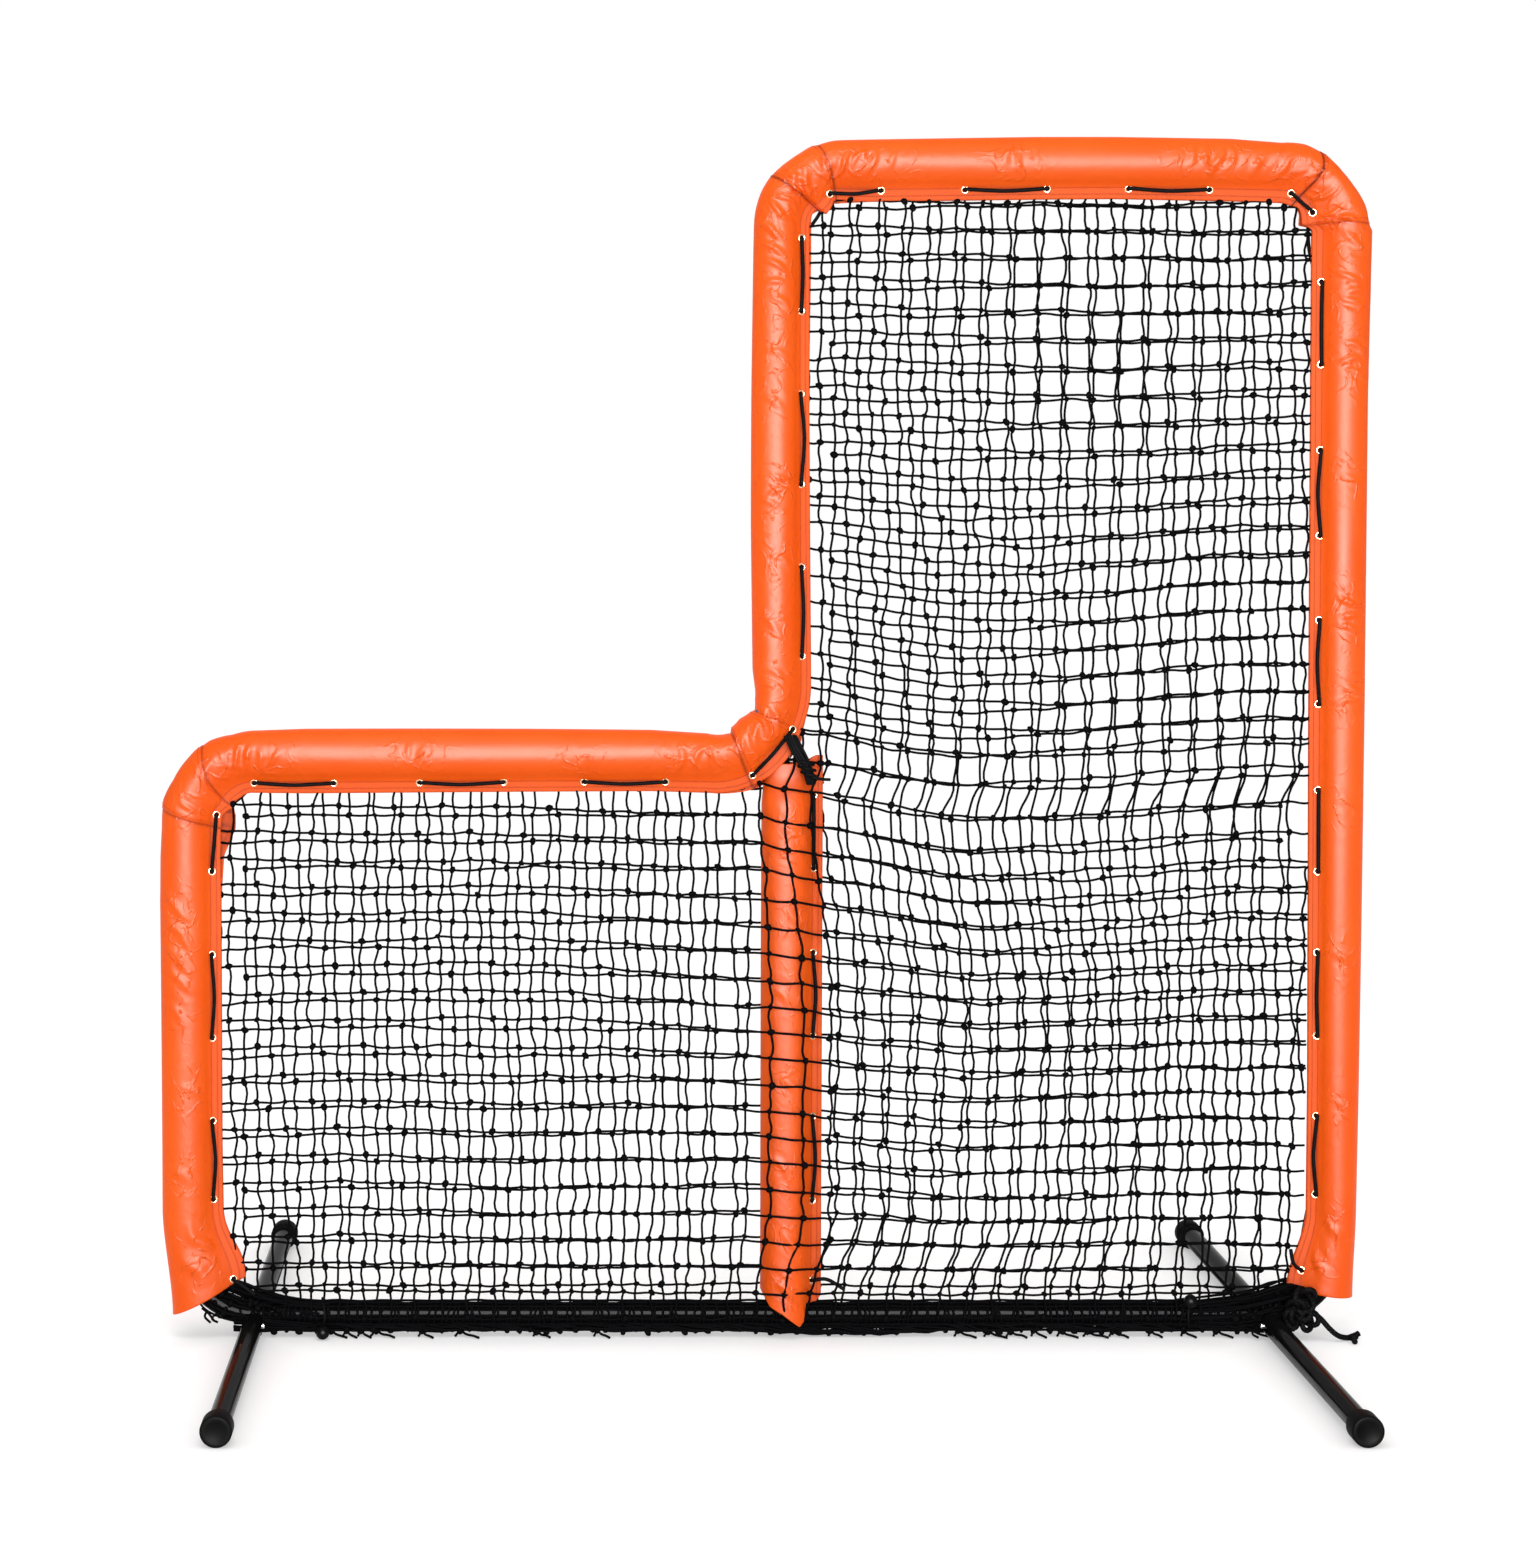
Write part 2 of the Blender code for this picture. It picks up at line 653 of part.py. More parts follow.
def build_laces(outer_holes, centre_holes):
    """Make the lace of the outer L and the lace of the centre pad, with their short tails."""
    for name, holes in (("outer_lace", outer_holes), ("centre_lace", centre_holes)):
        points = lace_points(holes, FRONT)
        ahead = Vector((points[1].x - points[0].x, 0, points[1].z - points[0].z)).normalized()
        onward = Vector((points[-1].x - points[-2].x, 0, points[-1].z - points[-2].z)).normalized()
        way_in = (net_side(ahead) * LACE_TAIL_LEAN_SHARE - ahead).normalized()
        way_out = (net_side(onward) * LACE_TAIL_LEAN_SHARE + onward).normalized()
        tails = (points[0] + way_in * LACE_TAIL, points[-1] + way_out * LACE_TAIL)
        tube_curve(name, "black_cord", [tails[0], *points, tails[1]], LACE_OD, resolution=0)


def split(start, end, pitch):
    """Return evenly spaced places from start to end, close to the pitch apart."""
    count = max(1, round(abs(end - start) / pitch))
    return [start + (end - start) * index / count for index in range(count + 1)]


def to_segment(point, start, end):
    """Return the distance from a point to a straight line between two points."""
    run = end - start
    share = (point - start).dot(run) / run.length_squared
    nearest = start + run * min(1, max(0, share))
    return (point - nearest).length


def net_spread(x, z):
    """Return how far each net layer stands off the middle plane at a place."""
    inset = FLAP_EDGE + GAP + NET_STRAND / 2
    place = Vector((x, 0, z))
    pinches = [
        (Vector((LEFT_X + inset, 0, RAIL_Z + inset)), Vector((LEFT_X + inset, 0, LOW_Z))),
        (Vector((LEFT_X, 0, LOW_Z - inset)), Vector((TALL_X - BEND_RADIUS, 0, LOW_Z - inset))),
        (Vector((TALL_X + inset, 0, LOW_Z + BEND_RADIUS)), Vector((TALL_X + inset, 0, TOP_Z))),
        (Vector((TALL_X, 0, TOP_Z - inset)), Vector((RIGHT_X, 0, TOP_Z - inset))),
        (Vector((RIGHT_X - inset, 0, TOP_Z)), Vector((RIGHT_X - inset, 0, RAIL_Z + inset))),
    ]
    pinch = min(to_segment(place, start, end) for start, end in pinches)
    post = to_segment(place, Vector((CENTRE_X, 0, RAIL_Z)), Vector((CENTRE_X, 0, LOW_Z - inset)))
    rail = to_segment(place, Vector((LEFT_X, 0, RAIL_Z)), Vector((RIGHT_X, 0, RAIL_Z)))
    at_flap = FLAP_OUT - NET_STRAND / 2
    at_post = PAD_R + GAP + NET_STRAND / 2
    at_rail = TUBE_R + NET_STRAND
    if pinch < GAP:
        return at_flap
    if post < GAP:
        return at_post
    if rail < GAP:
        return at_rail
    total = at_flap / pinch + at_post / post + at_rail / rail
    return total / (1 / pinch + 1 / post + 1 / rail)


def net_panel(name, columns, rows, side, drawn_corners):
    """Make one net layer as a lattice of square strands with a square at each crossing."""
    half = NET_STRAND / 2
    bm = bmesh.new()
    knots = {}
    for i, x in enumerate(columns):
        for j, z in enumerate(rows):
            spread = net_spread(x, z)
            corner = drawn_corners.get((i, j))
            if corner:
                meeting, before, after = CORNERS[corner]
                reach = (BEND_RADIUS - FLAP_EDGE) * math.cos(math.pi / 4 / BEND_STEPS)
                reach -= GAP + half * math.sqrt(2)
                inward = (after - before) * (BEND_RADIUS - reach / math.sqrt(2))
                x, z = meeting.x + inward.x, meeting.z + inward.z
                spread = FLAP_OUT - half
            for a in (-1, 1):
                for b in (-1, 1):
                    for c in (-1, 1):
                        place = Vector((x + a * half, 0, z + b * half)) + side * (spread + c * half)
                        knots[i, j, a, b, c] = bm.verts.new(place)
    last_i, last_j = len(columns) - 1, len(rows) - 1

    def face(*keys):
        bm.faces.new([knots[key] for key in keys])

    for i in range(len(columns)):
        for j in range(len(rows)):
            for c in (-1, 1):
                face((i, j, -1, -1, c), (i, j, 1, -1, c), (i, j, 1, 1, c), (i, j, -1, 1, c))
                if i < last_i:
                    face((i, j, 1, -1, c), (i + 1, j, -1, -1, c), (i + 1, j, -1, 1, c), (i, j, 1, 1, c))
                if j < last_j:
                    face((i, j, -1, 1, c), (i, j, 1, 1, c), (i, j + 1, 1, -1, c), (i, j + 1, -1, -1, c))
            for b in (-1, 1):
                if i < last_i:
                    face((i, j, 1, b, -1), (i + 1, j, -1, b, -1), (i + 1, j, -1, b, 1), (i, j, 1, b, 1))
                if j == (0 if b < 0 else last_j):
                    face((i, j, -1, b, -1), (i, j, 1, b, -1), (i, j, 1, b, 1), (i, j, -1, b, 1))
            for a in (-1, 1):
                if j < last_j:
                    face((i, j, a, 1, -1), (i, j + 1, a, -1, -1), (i, j + 1, a, -1, 1), (i, j, a, 1, 1))
                if i == (0 if a < 0 else last_i):
                    face((i, j, a, -1, -1), (i, j, a, 1, -1), (i, j, a, 1, 1), (i, j, a, -1, 1))
    return add_node(name, mesh_from(bm, name), "black_twine", smooth=False)


def build_net():
    """Make the front and the rear net, each of a lower part and an upper part sewn on."""
    inset = FLAP_EDGE + GAP + NET_STRAND / 2
    low_edge = LOW_Z - inset
    left_columns = split(LEFT_X + inset, CENTRE_X, NET_PITCH)
    lower_columns = left_columns + split(CENTRE_X, RIGHT_X - inset, NET_PITCH)[1:]
    lower_rows = split(RAIL_Z, low_edge, NET_PITCH)
    upper_columns = split(TALL_X + inset, RIGHT_X - inset, NET_PITCH)
    upper_rows = split(low_edge + NET_STRAND + GAP, TOP_Z - inset, NET_PITCH)
    lower_corners = {
        (0, 0): "bottom_left",
        (len(lower_columns) - 1, 0): "bottom_right",
        (0, len(lower_rows) - 1): "lower_left",
    }
    upper_corners = {
        (0, len(upper_rows) - 1): "top_left",
        (len(upper_columns) - 1, len(upper_rows) - 1): "top_right",
    }
    for layer, side in (("front", FRONT), ("rear", REAR)):
        net_panel(layer + "_lower_net", lower_columns, lower_rows, side, lower_corners)
        net_panel(layer + "_upper_net", upper_columns, upper_rows, side, upper_corners)


def leg_places():
    """Return each half leg's name, foot position and directions outward and to its button."""
    places = []
    for side_name, x, inboard in (("left", LEFT_X + LEG_INSET, RIGHT), ("right", RIGHT_X - LEG_INSET, LEFT)):
        for end_name, outward in (("front", FRONT), ("rear", REAR)):
            places.append((side_name + "_" + end_name, Vector((x, 0, LEG_Z)), outward, inboard))
    return places


def button_hole(name, centre, outward, inboard):
    """Make the cutter of a snap button's hole."""
    middle = centre + outward * BUTTON_AT + inboard * TUBE_R
    reach = TUBE_R - SWAGE_BORE_R + OVERRUN
    return rod_cutter(name, middle, inboard, BUTTON_OD / 2 + GAP, reach, BUTTON_SIDES)


def build_legs():
    """Make the half legs, their rubber tips, the snap buttons, the clips and the cross spigots."""
    for name, centre, outward, inboard in leg_places():
        start = centre + outward * (TUBE_R + GAP)
        end = centre + outward * (LEG_REACH - TIP_WALL - GAP)
        leg = leg_tube(name + "_leg", start, end, TUBE_R, BORE_R)
        cut(leg, button_hole(name + "_leg_hole", centre, outward, inboard))
        build_tip(name, centre, outward)
        build_button(name, centre, outward, inboard)
        build_clip(name, centre, outward, inboard)
    for side_name, x, inboard in (("left", LEFT_X + LEG_INSET, RIGHT), ("right", RIGHT_X - LEG_INSET, LEFT)):
        centre = Vector((x, 0, LEG_Z))
        spigot = leg_tube(side_name + "_cross_spigot", centre + FRONT * SPIGOT_REACH,
                          centre + REAR * SPIGOT_REACH, SWAGE_R, SWAGE_BORE_R)
        cut(spigot, elbow_cutter(side_name + "_saddle", "bottom_" + side_name, TUBE_R + GAP))
        for end_name, outward in (("front", FRONT), ("rear", REAR)):
            hole_name = side_name + "_" + end_name + "_spigot_hole"
            cut(spigot, button_hole(hole_name, centre, outward, inboard))


def leg_tube(name, start, end, outer, bore):
    """Make a straight tube that runs from front to rear."""
    axis = (end - start).normalized()
    length = (end - start).length
    profile = [(0, bore), (0, outer), (length, outer), (length, bore)]
    return turned(name, "black_paint", start, axis, RIGHT, profile, TUBE_SIDES)


def build_tip(name, centre, outward):
    """Make the rubber tip that closes the leg's outer end and stands on the floor."""
    base = centre + outward * (LEG_REACH - TIP_LENGTH)
    bore = (TUBE_R + GAP) / math.cos(math.pi / TIP_SIDES)
    profile = [
        (0, bore), (0, TIP_R - TIP_ROUNDING), (TIP_ROUNDING, TIP_R), (TIP_LENGTH - TIP_ROUNDING, TIP_R),
        (TIP_LENGTH, TIP_R - TIP_ROUNDING), (TIP_LENGTH, 0), (TIP_LENGTH - TIP_WALL, 0),
        (TIP_LENGTH - TIP_WALL, bore),
    ]
    turned(name + "_tip", "black_rubber", base, outward, DOWN, profile, TIP_SIDES, half_turn=True)


def build_button(name, centre, outward, inboard):
    """Make a snap button: a flange inside the spigot, a shank and a domed head."""
    seat = SWAGE_BORE_R - BUTTON_SEAT
    base = centre + outward * BUTTON_AT + inboard * (seat - BUTTON_FLANGE_THICK)
    shoulder = TUBE_R + BUTTON_PROUD - seat + BUTTON_FLANGE_THICK
    profile = [
        (0, 0), (0, BUTTON_FLANGE_OD / 2), (BUTTON_FLANGE_THICK, BUTTON_FLANGE_OD / 2),
        (BUTTON_FLANGE_THICK, BUTTON_OD / 2), (shoulder - BUTTON_DOME, BUTTON_OD / 2),
        (shoulder - BUTTON_CROWN_HEIGHT, BUTTON_CROWN_OD / 2), (shoulder, 0),
    ]
    button = turned(name + "_button", "bright_steel", Vector((0, 0, 0)), inboard, UP, profile, BUTTON_SIDES)
    button.location = base


def build_clip(name, centre, outward, inboard):
    """Make the leaf clip inside the spigot that pushes the button out."""
    button_arm = SWAGE_BORE_R - BUTTON_SEAT - BUTTON_FLANGE_THICK - GAP
    wall_arm = -(SWAGE_BORE_R - CLIP_WALL_SPACE)
    near = BUTTON_AT - CLIP_PAD / 2
    far = BUTTON_AT + CLIP_PAD / 2
    fold = BUTTON_AT + CLIP_LENGTH
    outline = [
        (button_arm, near), (button_arm, far), (0, fold), (wall_arm, far), (wall_arm, near),
        (wall_arm + CLIP_THICK, near), (wall_arm + CLIP_THICK, far), (0, fold - CLIP_FOLD_THICK),
        (button_arm - CLIP_THICK, far), (button_arm - CLIP_THICK, near),
    ]
    bm = bmesh.new()
    rings = []
    for height in (-CLIP_WIDTH / 2, CLIP_WIDTH / 2):
        rings.append([bm.verts.new(centre + inboard * x + outward * y + UP * height) for x, y in outline])
    skin(bm, rings[0], rings[1])
    bm.faces.new(rings[0])
    bm.faces.new(rings[1])
    add_node(name + "_clip", mesh_from(bm, name + "_clip"), "bright_steel", smooth=False)


def build_bungees():
    """Make two ball bungees: an elastic loop round the rail and net, and the ball on its end."""
    clear_r = TUBE_R + NET_STRAND + NET_STRAND / 2 + GAP + BUNGEE_OD / 2
    loop_r = clear_r / math.cos(math.pi / LOOP_STEPS)
    ball_reach = loop_r + BUNGEE_OD / 2 + GAP + BALL_OD / 2
    low_drop = RAIL_Z - BALL_OD / 2
    low_out = math.sqrt(ball_reach ** 2 - low_drop ** 2)
    places = {
        "left": (LEFT_X + LEFT_BALL_INSET, Vector((0, -low_out, -low_drop))),
        "right": (RIGHT_X - RIGHT_BALL_INSET, Vector((0, -ball_reach, ball_reach)) / math.sqrt(2)),
    }
    for name, (x, reach) in places.items():
        axis = Vector((x, 0, RAIL_Z))
        towards = reach.normalized()
        beside = towards.cross(RIGHT)
        turns = [2 * math.pi * step / LOOP_STEPS for step in range(LOOP_STEPS)]
        loop = [axis + loop_r * (towards * math.cos(turn) + beside * math.sin(turn)) for turn in turns]
        tube_curve(name + "_bungee_loop", "black_cord", loop, BUNGEE_OD, closed=True)
        profile = []
        for step in range(BALL_RINGS + 1):
            turn = math.pi * step / BALL_RINGS
            inner = step in (0, BALL_RINGS)
            profile.append((-BALL_OD / 2 * math.cos(turn), 0 if inner else BALL_OD / 2 * math.sin(turn)))
        turned(name + "_bungee_ball", "black_plastic", axis + reach, towards, RIGHT, profile, BALL_SIDES)


def build_rope():
    """Make the knot in the net's rope at the lower right corner and the rope's free end."""
    out = TUBE_R + GAP + KNOT_OD / 2 * (1 - KNOT_WAVE_SHARE)
    centre = Vector((RIGHT_X - KNOT_INSET, -out, KNOT_HEIGHT))
    bm = bmesh.new()
    bmesh.ops.create_uvsphere(bm, u_segments=KNOT_SIDES, v_segments=KNOT_RINGS, radius=KNOT_OD / 2)
    for vert in bm.verts:
        turn = math.atan2(vert.co.y, vert.co.x)
        vert.co *= 1 - KNOT_WAVE_SHARE + KNOT_WAVE_SHARE * math.cos(KNOT_WAVES * turn)
        vert.co += centre
    add_node("rope_knot", mesh_from(bm, "rope_knot"), "black_cord")
    start = centre + RIGHT * (KNOT_OD / 2 + GAP)
    route = smooth_route([start + Vector(place) for place in ROPE_ROUTE], ROPE_POINTS)
    tube_curve("rope_end", "black_cord", route, ROPE_OD, resolution=2)


def main():
    """Build the whole screen."""
    clear_scene()
    build_frame()
    outer_holes = build_padding()
    centre_holes = build_centre_pad()
    build_laces(outer_holes, centre_holes)
    build_net()
    build_legs()
    build_bungees()
    build_rope()


main()
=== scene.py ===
import math

import bmesh
import bpy
import numpy as np
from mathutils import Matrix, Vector, kdtree, noise


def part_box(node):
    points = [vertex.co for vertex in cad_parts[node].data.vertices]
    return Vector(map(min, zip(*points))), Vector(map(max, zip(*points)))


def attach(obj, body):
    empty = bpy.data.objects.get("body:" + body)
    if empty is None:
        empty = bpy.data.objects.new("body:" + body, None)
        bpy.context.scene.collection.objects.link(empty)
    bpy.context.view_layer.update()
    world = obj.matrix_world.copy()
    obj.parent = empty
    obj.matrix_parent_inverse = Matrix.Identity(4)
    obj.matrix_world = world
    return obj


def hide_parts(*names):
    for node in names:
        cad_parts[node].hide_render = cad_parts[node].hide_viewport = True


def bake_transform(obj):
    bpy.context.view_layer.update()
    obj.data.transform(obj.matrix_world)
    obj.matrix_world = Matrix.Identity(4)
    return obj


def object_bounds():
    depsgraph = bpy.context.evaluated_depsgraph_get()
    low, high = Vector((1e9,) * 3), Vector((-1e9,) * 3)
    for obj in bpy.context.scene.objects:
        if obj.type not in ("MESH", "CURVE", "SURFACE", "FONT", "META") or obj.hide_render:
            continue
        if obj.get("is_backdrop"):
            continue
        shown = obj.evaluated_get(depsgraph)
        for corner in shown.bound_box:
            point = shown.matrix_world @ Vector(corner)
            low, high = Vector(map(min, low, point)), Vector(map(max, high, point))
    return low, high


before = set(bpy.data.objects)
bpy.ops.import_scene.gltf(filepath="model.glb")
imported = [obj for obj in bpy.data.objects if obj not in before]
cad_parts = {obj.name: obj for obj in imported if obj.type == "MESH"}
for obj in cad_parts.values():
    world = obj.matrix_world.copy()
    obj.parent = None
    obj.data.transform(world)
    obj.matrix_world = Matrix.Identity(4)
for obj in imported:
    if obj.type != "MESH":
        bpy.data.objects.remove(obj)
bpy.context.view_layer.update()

# Studio. The screen stands on a white floor that runs out of sight. The camera is at chest height and a
# little to the left of the middle. A wide soft lamp and a wider one, which shows only in what is glossy,
# stand behind it, and a third lamp hangs above.
scene = bpy.context.scene
scene.view_settings.view_transform = "Standard"

camera_data = bpy.data.cameras.new("camera")
camera_data.sensor_width = 36
camera_data.lens = 62.88
camera_data.shift_x = 0.149
camera_data.shift_y = -0.1045
camera_data.clip_end = 200
camera = bpy.data.objects.new("camera", camera_data)
camera.location = (-0.4105, -4.9146, 1.5021)
camera.rotation_euler = (math.pi / 2 - 0.0375, 0, 0)
scene.collection.objects.link(camera)
scene.camera = camera


def soft_lamp(name, place, aim, size, watts):
    """Add a square soft lamp that faces a point."""
    lamp = bpy.data.lights.new(name, "AREA")
    lamp.shape = "RECTANGLE"
    lamp.size, lamp.size_y = size
    lamp.energy = watts
    holder = bpy.data.objects.new(name, lamp)
    holder.location = place
    holder.rotation_euler = (Vector(aim) - Vector(place)).to_track_quat("-Z", "Y").to_euler()
    scene.collection.objects.link(holder)
    return holder


soft_lamp("front_lamp", (0.3, -5.6, 1.6), (0.1, 0, 1.1), (3.4, 3.0), 105)
soft_lamp("top_lamp", (-0.5, -1.6, 5.0), (0.0, 0, 0.6), (3.0, 2.0), 45)
sheen_lamp = soft_lamp("sheen_lamp", (0.0, -5.3, 1.8), (0.0, 0, 1.2), (4.4, 3.4), 2600)
sheen_lamp.visible_diffuse = False


def give(node, inputs):
    """Set a node's inputs, by position or name, to values or to what other nodes put out."""
    for socket, given in inputs.items():
        if isinstance(given, bpy.types.Node):
            given = given.outputs[0]
        if isinstance(given, bpy.types.NodeSocket):
            node.id_data.links.new(given, node.inputs[socket])
        else:
            node.inputs[socket].default_value = given
    return node


def new_node(tree, kind, inputs=None, **settings):
    """Add a node with its properties and inputs."""
    node = tree.nodes.new(kind)
    for key, value in settings.items():
        setattr(node, key, value)
    return give(node, inputs or {})


def calc(tree, operation, first, second=0.0, **settings):
    """Add a sum with one or two values."""
    return new_node(tree, "ShaderNodeMath", {0: first, 1: second}, operation=operation, **settings)


def new_group(name, kind, inputs, outputs):
    """Start a node group with named sockets, and return it with what it is given and its last node."""
    tree = bpy.data.node_groups.new(name, kind)
    for in_out, sockets in (("INPUT", inputs), ("OUTPUT", outputs)):
        for label, socket in sockets.items():
            tree.interface.new_socket(label, in_out=in_out, socket_type="NodeSocket" + socket)
    return tree, new_node(tree, "NodeGroupInput").outputs, new_node(tree, "NodeGroupOutput")


def seen_directly(tree):
    """Return a value that is 1 for rays from the camera, a mirror or a clear piece."""
    ray = new_node(tree, "ShaderNodeLightPath").outputs
    either = calc(tree, "MAXIMUM", ray["Is Camera Ray"], ray["Is Glossy Ray"])
    return calc(tree, "MAXIMUM", either, ray["Is Transmission Ray"])


SURROUND_LIGHT = 0.80
ROOM_LIGHT = 0.06
world = bpy.data.worlds.new("surround")
scene.world = world
world.use_nodes = True
tree = world.node_tree
tree.nodes.clear()
way = new_node(tree, "ShaderNodeSeparateXYZ", {0: new_node(tree, "ShaderNodeTexCoord").outputs["Generated"]})
room = new_node(tree, "ShaderNodeMapRange", {
    "Value": way.outputs["Y"], "From Min": 0.60, "From Max": 0.95, "To Min": ROOM_LIGHT, "To Max": 1.0,
}, interpolation_type="SMOOTHSTEP")
shown = calc(tree, "MAXIMUM", room, new_node(tree, "ShaderNodeLightPath").outputs["Is Camera Ray"])
strength = new_node(tree, "ShaderNodeMix", {0: seen_directly(tree), 2: SURROUND_LIGHT, 3: shown},
                    data_type="FLOAT")
background = new_node(tree, "ShaderNodeBackground", {"Color": (1, 1, 1, 1), "Strength": strength})
new_node(tree, "ShaderNodeOutputWorld", {"Surface": background})

FLOOR_SHADE = 0.70
floor_paint = bpy.data.materials.new("floor_paint")
floor_paint.use_nodes = True
tree = floor_paint.node_tree
tree.nodes.clear()
spot = new_node(tree, "ShaderNodeNewGeometry").outputs["Position"]
spot = new_node(tree, "ShaderNodeSeparateXYZ", {0: spot}).outputs


def off_line(along, across, half_length, offset):
    """Return how far a place of the floor is from a level line, in metres."""
    past = calc(tree, "SUBTRACT", calc(tree, "ABSOLUTE", spot[along]), half_length, use_clamp=True)
    aside = calc(tree, "SUBTRACT", calc(tree, "ABSOLUTE", spot[across]), offset)
    return calc(tree, "MAXIMUM", past, calc(tree, "ABSOLUTE", aside))


# Painted shade on the floor: its glow is dimmed near the bottom rail and the legs, so their contact shadows
# show darker there.
near_foot = calc(tree, "MINIMUM", off_line("X", "Y", 1.0, 0.0), off_line("Y", "X", 0.56, 0.926))
painted_shade_glow = new_node(tree, "ShaderNodeMapRange", {
    "Value": near_foot, "From Min": 0.01, "From Max": 0.13, "To Min": 0.35, "To Max": 0.465,
}, interpolation_type="SMOOTHSTEP")
glow = new_node(tree, "ShaderNodeEmission", {"Strength": painted_shade_glow})
plain = new_node(tree, "ShaderNodeBsdfDiffuse", {"Color": (0.80, 0.80, 0.80, 1)})
shaded = new_node(tree, "ShaderNodeBsdfDiffuse", {"Color": (FLOOR_SHADE,) * 3 + (1,)})
seen = new_node(tree, "ShaderNodeAddShader", {0: shaded, 1: glow})
either = new_node(tree, "ShaderNodeMixShader", {0: seen_directly(tree), 1: plain, 2: seen})
new_node(tree, "ShaderNodeOutputMaterial", {"Surface": either})


def add_piece(name, mesh, *materials):
    """Put a finished mesh in the scene."""
    piece = bpy.data.objects.new(name, mesh)
    scene.collection.objects.link(piece)
    for material in materials:
        mesh.materials.append(material)
    return piece


def mesh_of(name, verts, faces, edges=()):
    """Make mesh data from plain lists."""
    mesh = bpy.data.meshes.new(name)
    mesh.from_pydata([tuple(v) for v in verts], list(edges), [tuple(f) for f in faces])
    mesh.update()
    return mesh


def mark(mesh, name, values):
    """Give each point of a mesh a number."""
    mesh.attributes.new(name, "FLOAT", "POINT").data.foreach_set("value", values)


def declare(piece, slot, *nodes, body="root"):
    for node in nodes:
        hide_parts(node)
    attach(piece, body)


floor = add_piece("floor", mesh_of("floor", [(-60, -60, 0), (60, -60, 0), (60, 60, 0), (-60, 60, 0)],
                                   [(0, 1, 2, 3)]), floor_paint)
floor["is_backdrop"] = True

# The frame's lines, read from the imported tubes: the posts stand at these places from left to right, and
# the rails lie at these heights. The tube bends at each corner about a point this far from both tubes.
LEFT_X, TALL_X, RIGHT_X, CENTRE_X = [
    sum(corner.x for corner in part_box(post + "_post")) / 2 for post in ("left", "tall", "right", "centre")]
RAIL_Z, LOW_Z, TOP_Z = [
    sum(corner.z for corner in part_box(rail + "_rail")) / 2 for rail in ("bottom", "low", "top")]
BEND = 0.120
TUBE_R = 0.01905

RIGHT, UP, REAR = Vector((1, 0, 0)), Vector((0, 0, 1)), Vector((0, 1, 0))
LEFT, DOWN, FRONT = -RIGHT, -UP, -REAR


def wave(low, high, value):
    """Rise smoothly from 0 at low to 1 at high."""
    share = min(1.0, max(0.0, (value - low) / (high - low)))
    return share * share * (3 - 2 * share)


def smooth_line(points, step):
    """Return evenly spaced points on one smooth curve through the given points."""
    points = [Vector(point) for point in points]
    points = [2 * points[0] - points[1]] + points + [2 * points[-1] - points[-2]]
    fine = []
    for a, b, c, d in zip(points, points[1:], points[2:], points[3:]):
        for part in range(24):
            t = part / 24
            fine.append((2 * b + (c - a) * t + (2 * a - 5 * b + 4 * c - d) * t * t
                         + (3 * b - a - 3 * c + d) * t ** 3) / 2)
    fine.append(points[-2])
    run = [0.0]
    for a, b in zip(fine, fine[1:]):
        run.append(run[-1] + (b - a).length)
    count = max(2, round(run[-1] / step) + 1)
    flat = np.array([tuple(point) for point in fine])
    places = np.linspace(0, run[-1], count)
    return [Vector(p) for p in np.stack([np.interp(places, run, flat[:, k]) for k in range(3)], axis=1)]


# Cord lay: the ridges of a cord's strands, which cross each other as in a braid. The lay holds the cosine
# and sine of the way round the cord, and the way along it in metres.
cord_lay, given, result = new_group("cord_lay", "ShaderNodeTree", {
    "Lay": "Vector", "Turns": "Float", "Strands": "Float"}, {"Height": "Float"})
parts = new_node(cord_lay, "ShaderNodeSeparateXYZ", {0: given["Lay"]}).outputs
fanned = calc(cord_lay, "MULTIPLY", calc(cord_lay, "ARCTAN2", parts["Y"], parts["X"]), given["Strands"])
wound = calc(cord_lay, "MULTIPLY", parts["Z"], given["Turns"])
ridges = [calc(cord_lay, "SINE", calc(cord_lay, turning, wound, fanned)) for turning in ("ADD", "SUBTRACT")]
give(result, {"Height": new_node(cord_lay, "ShaderNodeMapRange", {
    "Value": calc(cord_lay, "MAXIMUM", *ridges), "From Min": -0.6, "From Max": 1.0})})
GROOVE_PAINTED_SHADE = 0.35


def cord_finish(name, colour, roughness, turns, strands, depth, gloss):
    """Make a material for laid or braided cord, whose grooves wind along the cord's own 'lay' and are painted
    darker as shade.
    """
    material = bpy.data.materials.new(name)
    material.use_nodes = True
    tree = material.node_tree
    lay = new_node(tree, "ShaderNodeAttribute", attribute_name="lay").outputs["Vector"]
    grooves = new_node(tree, "ShaderNodeGroup", {"Lay": lay, "Turns": turns, "Strands": strands},
                       node_tree=cord_lay)
    # Painted shade: the colour is darkened in the grooves between the strands.
    painted_shade = new_node(tree, "ShaderNodeMix", {
        0: grooves, 6: (*[part * GROOVE_PAINTED_SHADE for part in colour], 1), 7: (*colour, 1)}, data_type="RGBA")
    bump = new_node(tree, "ShaderNodeBump", {"Strength": 0.7, "Distance": depth, "Height": grooves})
    give(tree.nodes["Principled BSDF"], {
        "Roughness": roughness, "Specular IOR Level": gloss, "Base Color": painted_shade.outputs[2], "Normal": bump})
    return material


def new_shape_tree(name, **inputs):
    """Start a geometry node tree with named inputs, which ends by setting a material."""
    tree, given, result = new_group(name, "GeometryNodeTree", {
        "Geometry": "Geometry", **inputs, "Material": "Material"}, {"Geometry": "Geometry"})
    painted = new_node(tree, "GeometryNodeSetMaterial", {"Material": given["Material"]})
    give(result, {"Geometry": painted})
    return tree, given, painted


